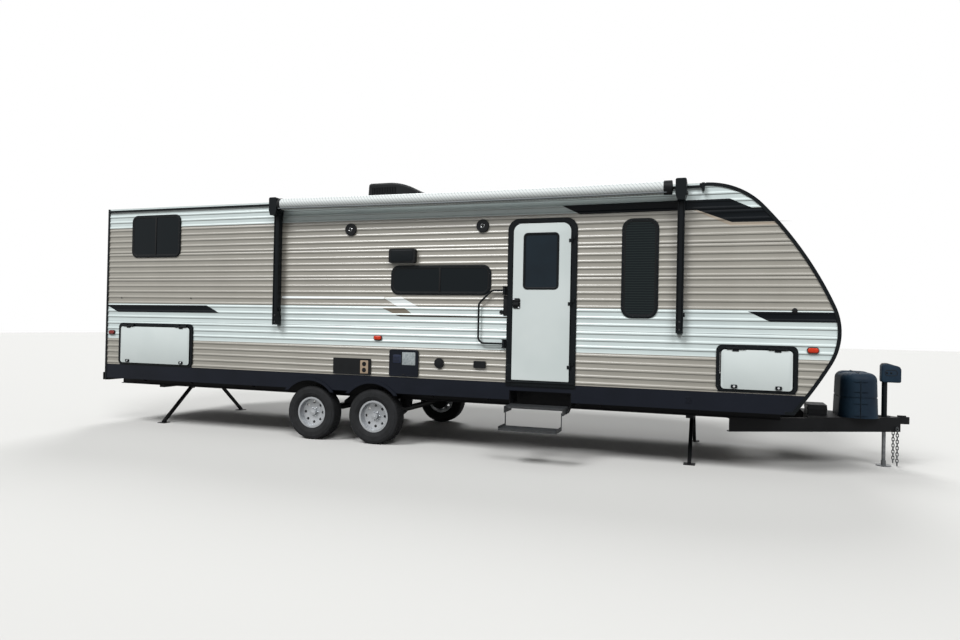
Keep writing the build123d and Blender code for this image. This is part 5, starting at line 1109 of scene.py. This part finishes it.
sideEdge = [(0.014, 0), (0.005, 0.002), (0.001, 0.006), (0, 0.010)]  # inset, and place in from the side
hoodRings = [(inset, deep - hood["half"]) for inset, deep in sideEdge]
hoodRings += [(inset, hood["half"] - deep) for inset, deep in reversed(sideEdge)]
form = bmesh.new()
sweep(form, hoodPlace, hood["x"], hood["z"], (hood["corner"], 0.020), hoodRings)
finishForm(form, "jack_hood", "polyethylene")
form = bmesh.new()
ovalRim = [(0, -0.002), (0, 0.0012), (0.0015, 0.0022), (0.004, 0.0022), (0.0055, 0.0012), (0.0055, -0.002)]
for sign in (-1, 1):
    sweep(form, headPlace(sign), (-0.012, 0.112), (0.985, 1.050), 0.0325, ovalRim, True)
toggle = [(0, -0.002), (0, 0.003), (0.003, 0.004), (0.005, 0.011), (0.006, 0.012)]
for x in (0.010, 0.050):
    turn(form, headPlace(-1), x, 1.018, 0.009, toggle)
finishForm(form, "jack_switches", "blackPlastic")
print("jack dressed")

# roof: seams of the membrane, the lids of the vents and small plumbing vents
roof = {"crown": 0.070, "seamXs": (-8.9, -6.9, -4.9, -2.5), "seamHalf": 1.15, "edgeY": 1.17, "bead": 0.006,
        "edgeFrom": -9.68, "edgeStep": 0.39, "ventXs": (-3.000, -8.300), "ventHalf": 0.231,
        "pipes": [(-7.9, 0.55), (-4.4, 0.62), (-3.3, -0.50)]}


def roofTop(y):
    return shell["roofZ"] + roof["crown"] * (1 - (y / shell["halfWidth"]) ** 2)


form = bmesh.new()
for x in roof["seamXs"]:
    ys = [y / 20 * roof["seamHalf"] for y in range(-20, 21)]
    addTube(form, [(x, y, roofTop(y) - 0.002) for y in ys], roof["bead"], 6)
for y in (-roof["edgeY"], roof["edgeY"]):
    xs = [roof["edgeFrom"] + n * roof["edgeStep"] for n in range(21)]
    addTube(form, [(x, y, roofTop(y) - 0.001) for x in xs], roof["bead"], 6)
finishForm(form, "roof_sealant", "sealant")
form = bmesh.new()
lid = roundEdge(-0.001, 0.0395, 0.010) + [(0.060, 0.044), (0.120, 0.048), (0.180, 0.050)]
half = roof["ventHalf"]
for x in roof["ventXs"]:
    sweep(form, lambda u, v, out: (u, v, 3.040 + out), (x - half, x + half), (-half, half), 0.045, lid)
for y in (-0.075, 0.055):  # ridges across each lid
    for x in roof["ventXs"]:
        addBlock(form, (x - 0.13, y, 3.080), (x + 0.13, y + 0.020, 3.096), 0.004)
finishForm(form, "vent_lids", "whitePlastic")
pipe = [(0, -0.012), (0, 0.004), (0.022, 0.010), (0.028, 0.060), (0.014, 0.062), (0.014, 0.074),
        (0.020, 0.080), (0.050, 0.082)]
form = bmesh.new()
for x, y in roof["pipes"]:
    turn(form, flatPlace, x, y, 0.060, [(inset, roofTop(y) + out) for inset, out in pipe])
finishForm(form, "plumbing_vents", "whitePlastic")
print("roof dressed")

# nose: the same ribbing carried over the front, across the body
front = {"rib": 0.0032, "lift": 0.0006, "ys": [-1.214, -0.607, 0.0, 0.607, 1.214], "firstSeam": 0.05,
         "foot": 0.83, "cuts": (0, 0.006, 0.012, 0.018, 0.030, 0.0355, 0.041, 0.046), "mouldingFoot": 0.602}
nose = nosePoints(24)
lengths = [0.0]
for a, b in zip(nose, nose[1:]):
    lengths.append(lengths[-1] + math.dist(a[:2], b[:2]))


def noseAt(length):
    number = max(n for n in range(len(nose)) if lengths[n] <= length + 1e-9)
    number = min(number, len(nose) - 2)
    share = (length - lengths[number]) / (lengths[number + 1] - lengths[number])
    a, b = nose[number], nose[number + 1]
    return [a[i] + share * (b[i] - a[i]) for i in range(3)]


seamLengths = [front["firstSeam"]]
for top in panelTops[1:-1]:
    seamLengths.append(next(n * 0.005 for n in range(1, 1200) if noseAt(n * 0.005)[1] <= top))
seamLengths.append(max(length for length in lengths if noseAt(length)[1] > front["foot"]))
levels = set()
for start, stop in zip(seamLengths, seamLengths[1:]):
    levels |= {start + 0.0006, stop - 0.0006}
    ribStart = start + ribs["First Rib"]
    while ribStart < stop:
        levels |= {ribStart + cut for cut in front["cuts"] if ribStart + cut < stop}
        ribStart += ribs["Rib Pitch"]
points, belows, aways = [], [], []
kept, across = spaced(levels, 0.0005), len(front["ys"])
for level in kept:
    x, z, heading = noseAt(level)
    drop = level - max(seam for seam in seamLengths[:-1] + [0.0] if seam <= level + 0.0001)
    points += [(x, y, z) for y in front["ys"]]
    belows += [drop if drop > 0.0008 else -1.0] * across
    aways += [(-math.sin(heading), 0, math.cos(heading))] * across
starts = [r * across + c for r in range(len(kept) - 1) for c in range(across - 1)]
faces = [(n, n + 1, n + across + 1, n + across) for n in starts]
shape = {"Rib Depth": front["rib"], "Lift": front["rib"] + front["lift"]}
ribbedPiece("siding_front", points, faces, belows, aways, (1, 0, 0.6), "siding", shape)
section = [(1.184, -0.001), (1.184, 0.0038), (1.188, 0.0050), (1.212, 0.0054), (1.221, 0.0048),
           (1.2236, 0.0030), (1.2236, -0.001)]
for side, sign in sideSigns.items():  # black corner moulding over the ends of the ribs
    form, rings = bmesh.new(), []
    for x, z, heading in [p for p in nose if p[1] > front["mouldingFoot"]]:
        normal = (-math.sin(heading), math.cos(heading))
        ring = [(x + out * normal[0], sign * y, z + out * normal[1]) for y, out in section]
        rings.append([form.verts.new(point) for point in ring])
    joinRings(form, rings)
    finishForm(form, "corner_moulding_" + side, "blackFrame")
print("nose ribbed")
for item in items:
    bpy.data.objects.remove(item)

# floor, lights and camera
studio = {"floor": "C4C4C2", "bounce": "5E5E5C", "world": 0.2, "softness": 25, "reach": 60}
suns = [("key", 2.7, 46, -30), ("fill", 1.6, 42, 34), ("back", 1.45, 45, 200)]  # name, strength, height, turn
view = {"place": (-1.720, -8.679, 1.45), "yaw": 18.871, "pitch": 0.41, "roll": 1.117, "lens": 26.25}


def whiteForCamera(tree, ordinary, bright):  # what the camera, gloss and glass see is the white background
    path = addNode(tree, "ShaderNodeLightPath").outputs
    rays = {0: path["Is Camera Ray"], 1: path["Is Glossy Ray"]}
    seen = addNode(tree, "ShaderNodeMath", rays, operation="ADD").outputs[0]
    rays = {0: seen, 1: path["Is Transmission Ray"]}
    seen = addNode(tree, "ShaderNodeMath", rays, operation="ADD", use_clamp=True).outputs[0]
    return addNode(tree, "ShaderNodeMixShader", {0: seen, 1: ordinary, 2: bright}).outputs[0]


world = bpy.data.worlds.new("studio")
bpy.context.scene.world = world
world.use_nodes = True
sky = world.node_tree
sky.nodes.clear()
dim, bright = [
    addNode(sky, "ShaderNodeBackground", {"Color": (1, 1, 1, 1), "Strength": strength}).outputs[0]
    for strength in (studio["world"], 1.0)
]
addNode(sky, "ShaderNodeOutputWorld", {"Surface": whiteForCamera(sky, dim, bright)})

floorMaterial, tree, _, surface = startMaterial("studio floor", colour=hexColour(studio["floor"]), rough=0.9)
bounce = addNode(tree, "ShaderNodeBsdfDiffuse", {"Color": hexColour(studio["bounce"])}).outputs[0]
shown = whiteForCamera(tree, bounce, surface.outputs[0])
tree.links.new(shown, tree.nodes["Material Output"].inputs["Surface"])
reach = studio["reach"]
corners = [(-reach, -reach, 0), (reach, -reach, 0), (reach, reach, 0), (-reach, reach, 0)]
floor = plainPiece("studio_floor", corners, [], [(0, 1, 2, 3)])
floor.data.materials.append(floorMaterial)

for name, strength, height, turned in suns:
    sun = bpy.data.lights.new(name, "SUN")
    sun.energy = strength
    sun.angle = math.radians(studio["softness"])
    sunPiece = bpy.data.objects.new(name, sun)
    sunPiece.rotation_euler = (math.radians(90 - height), 0, math.radians(turned))
    bpy.context.scene.collection.objects.link(sunPiece)

yaw, pitch, roll = (math.radians(view[key]) for key in ("yaw", "pitch", "roll"))
forward = Vector((-math.sin(yaw) * math.cos(pitch), math.cos(yaw) * math.cos(pitch), math.sin(pitch)))
across = Vector((math.cos(yaw), math.sin(yaw), 0))
upward = across.cross(forward)
right = across * math.cos(roll) + upward * math.sin(roll)
top = upward * math.cos(roll) - across * math.sin(roll)
camera = bpy.data.cameras.new("photo view")
camera.lens = view["lens"]
camera.sensor_width = 36
cameraPiece = bpy.data.objects.new("photo view", camera)
turnedCamera = Matrix((right, top, -forward)).transposed().to_4x4()
cameraPiece.matrix_world = Matrix.Translation(view["place"]) @ turnedCamera
bpy.context.scene.collection.objects.link(cameraPiece)
bpy.context.scene.camera = cameraPiece
bpy.context.scene.view_settings.view_transform = "Standard"
print("floor, lights and camera set")
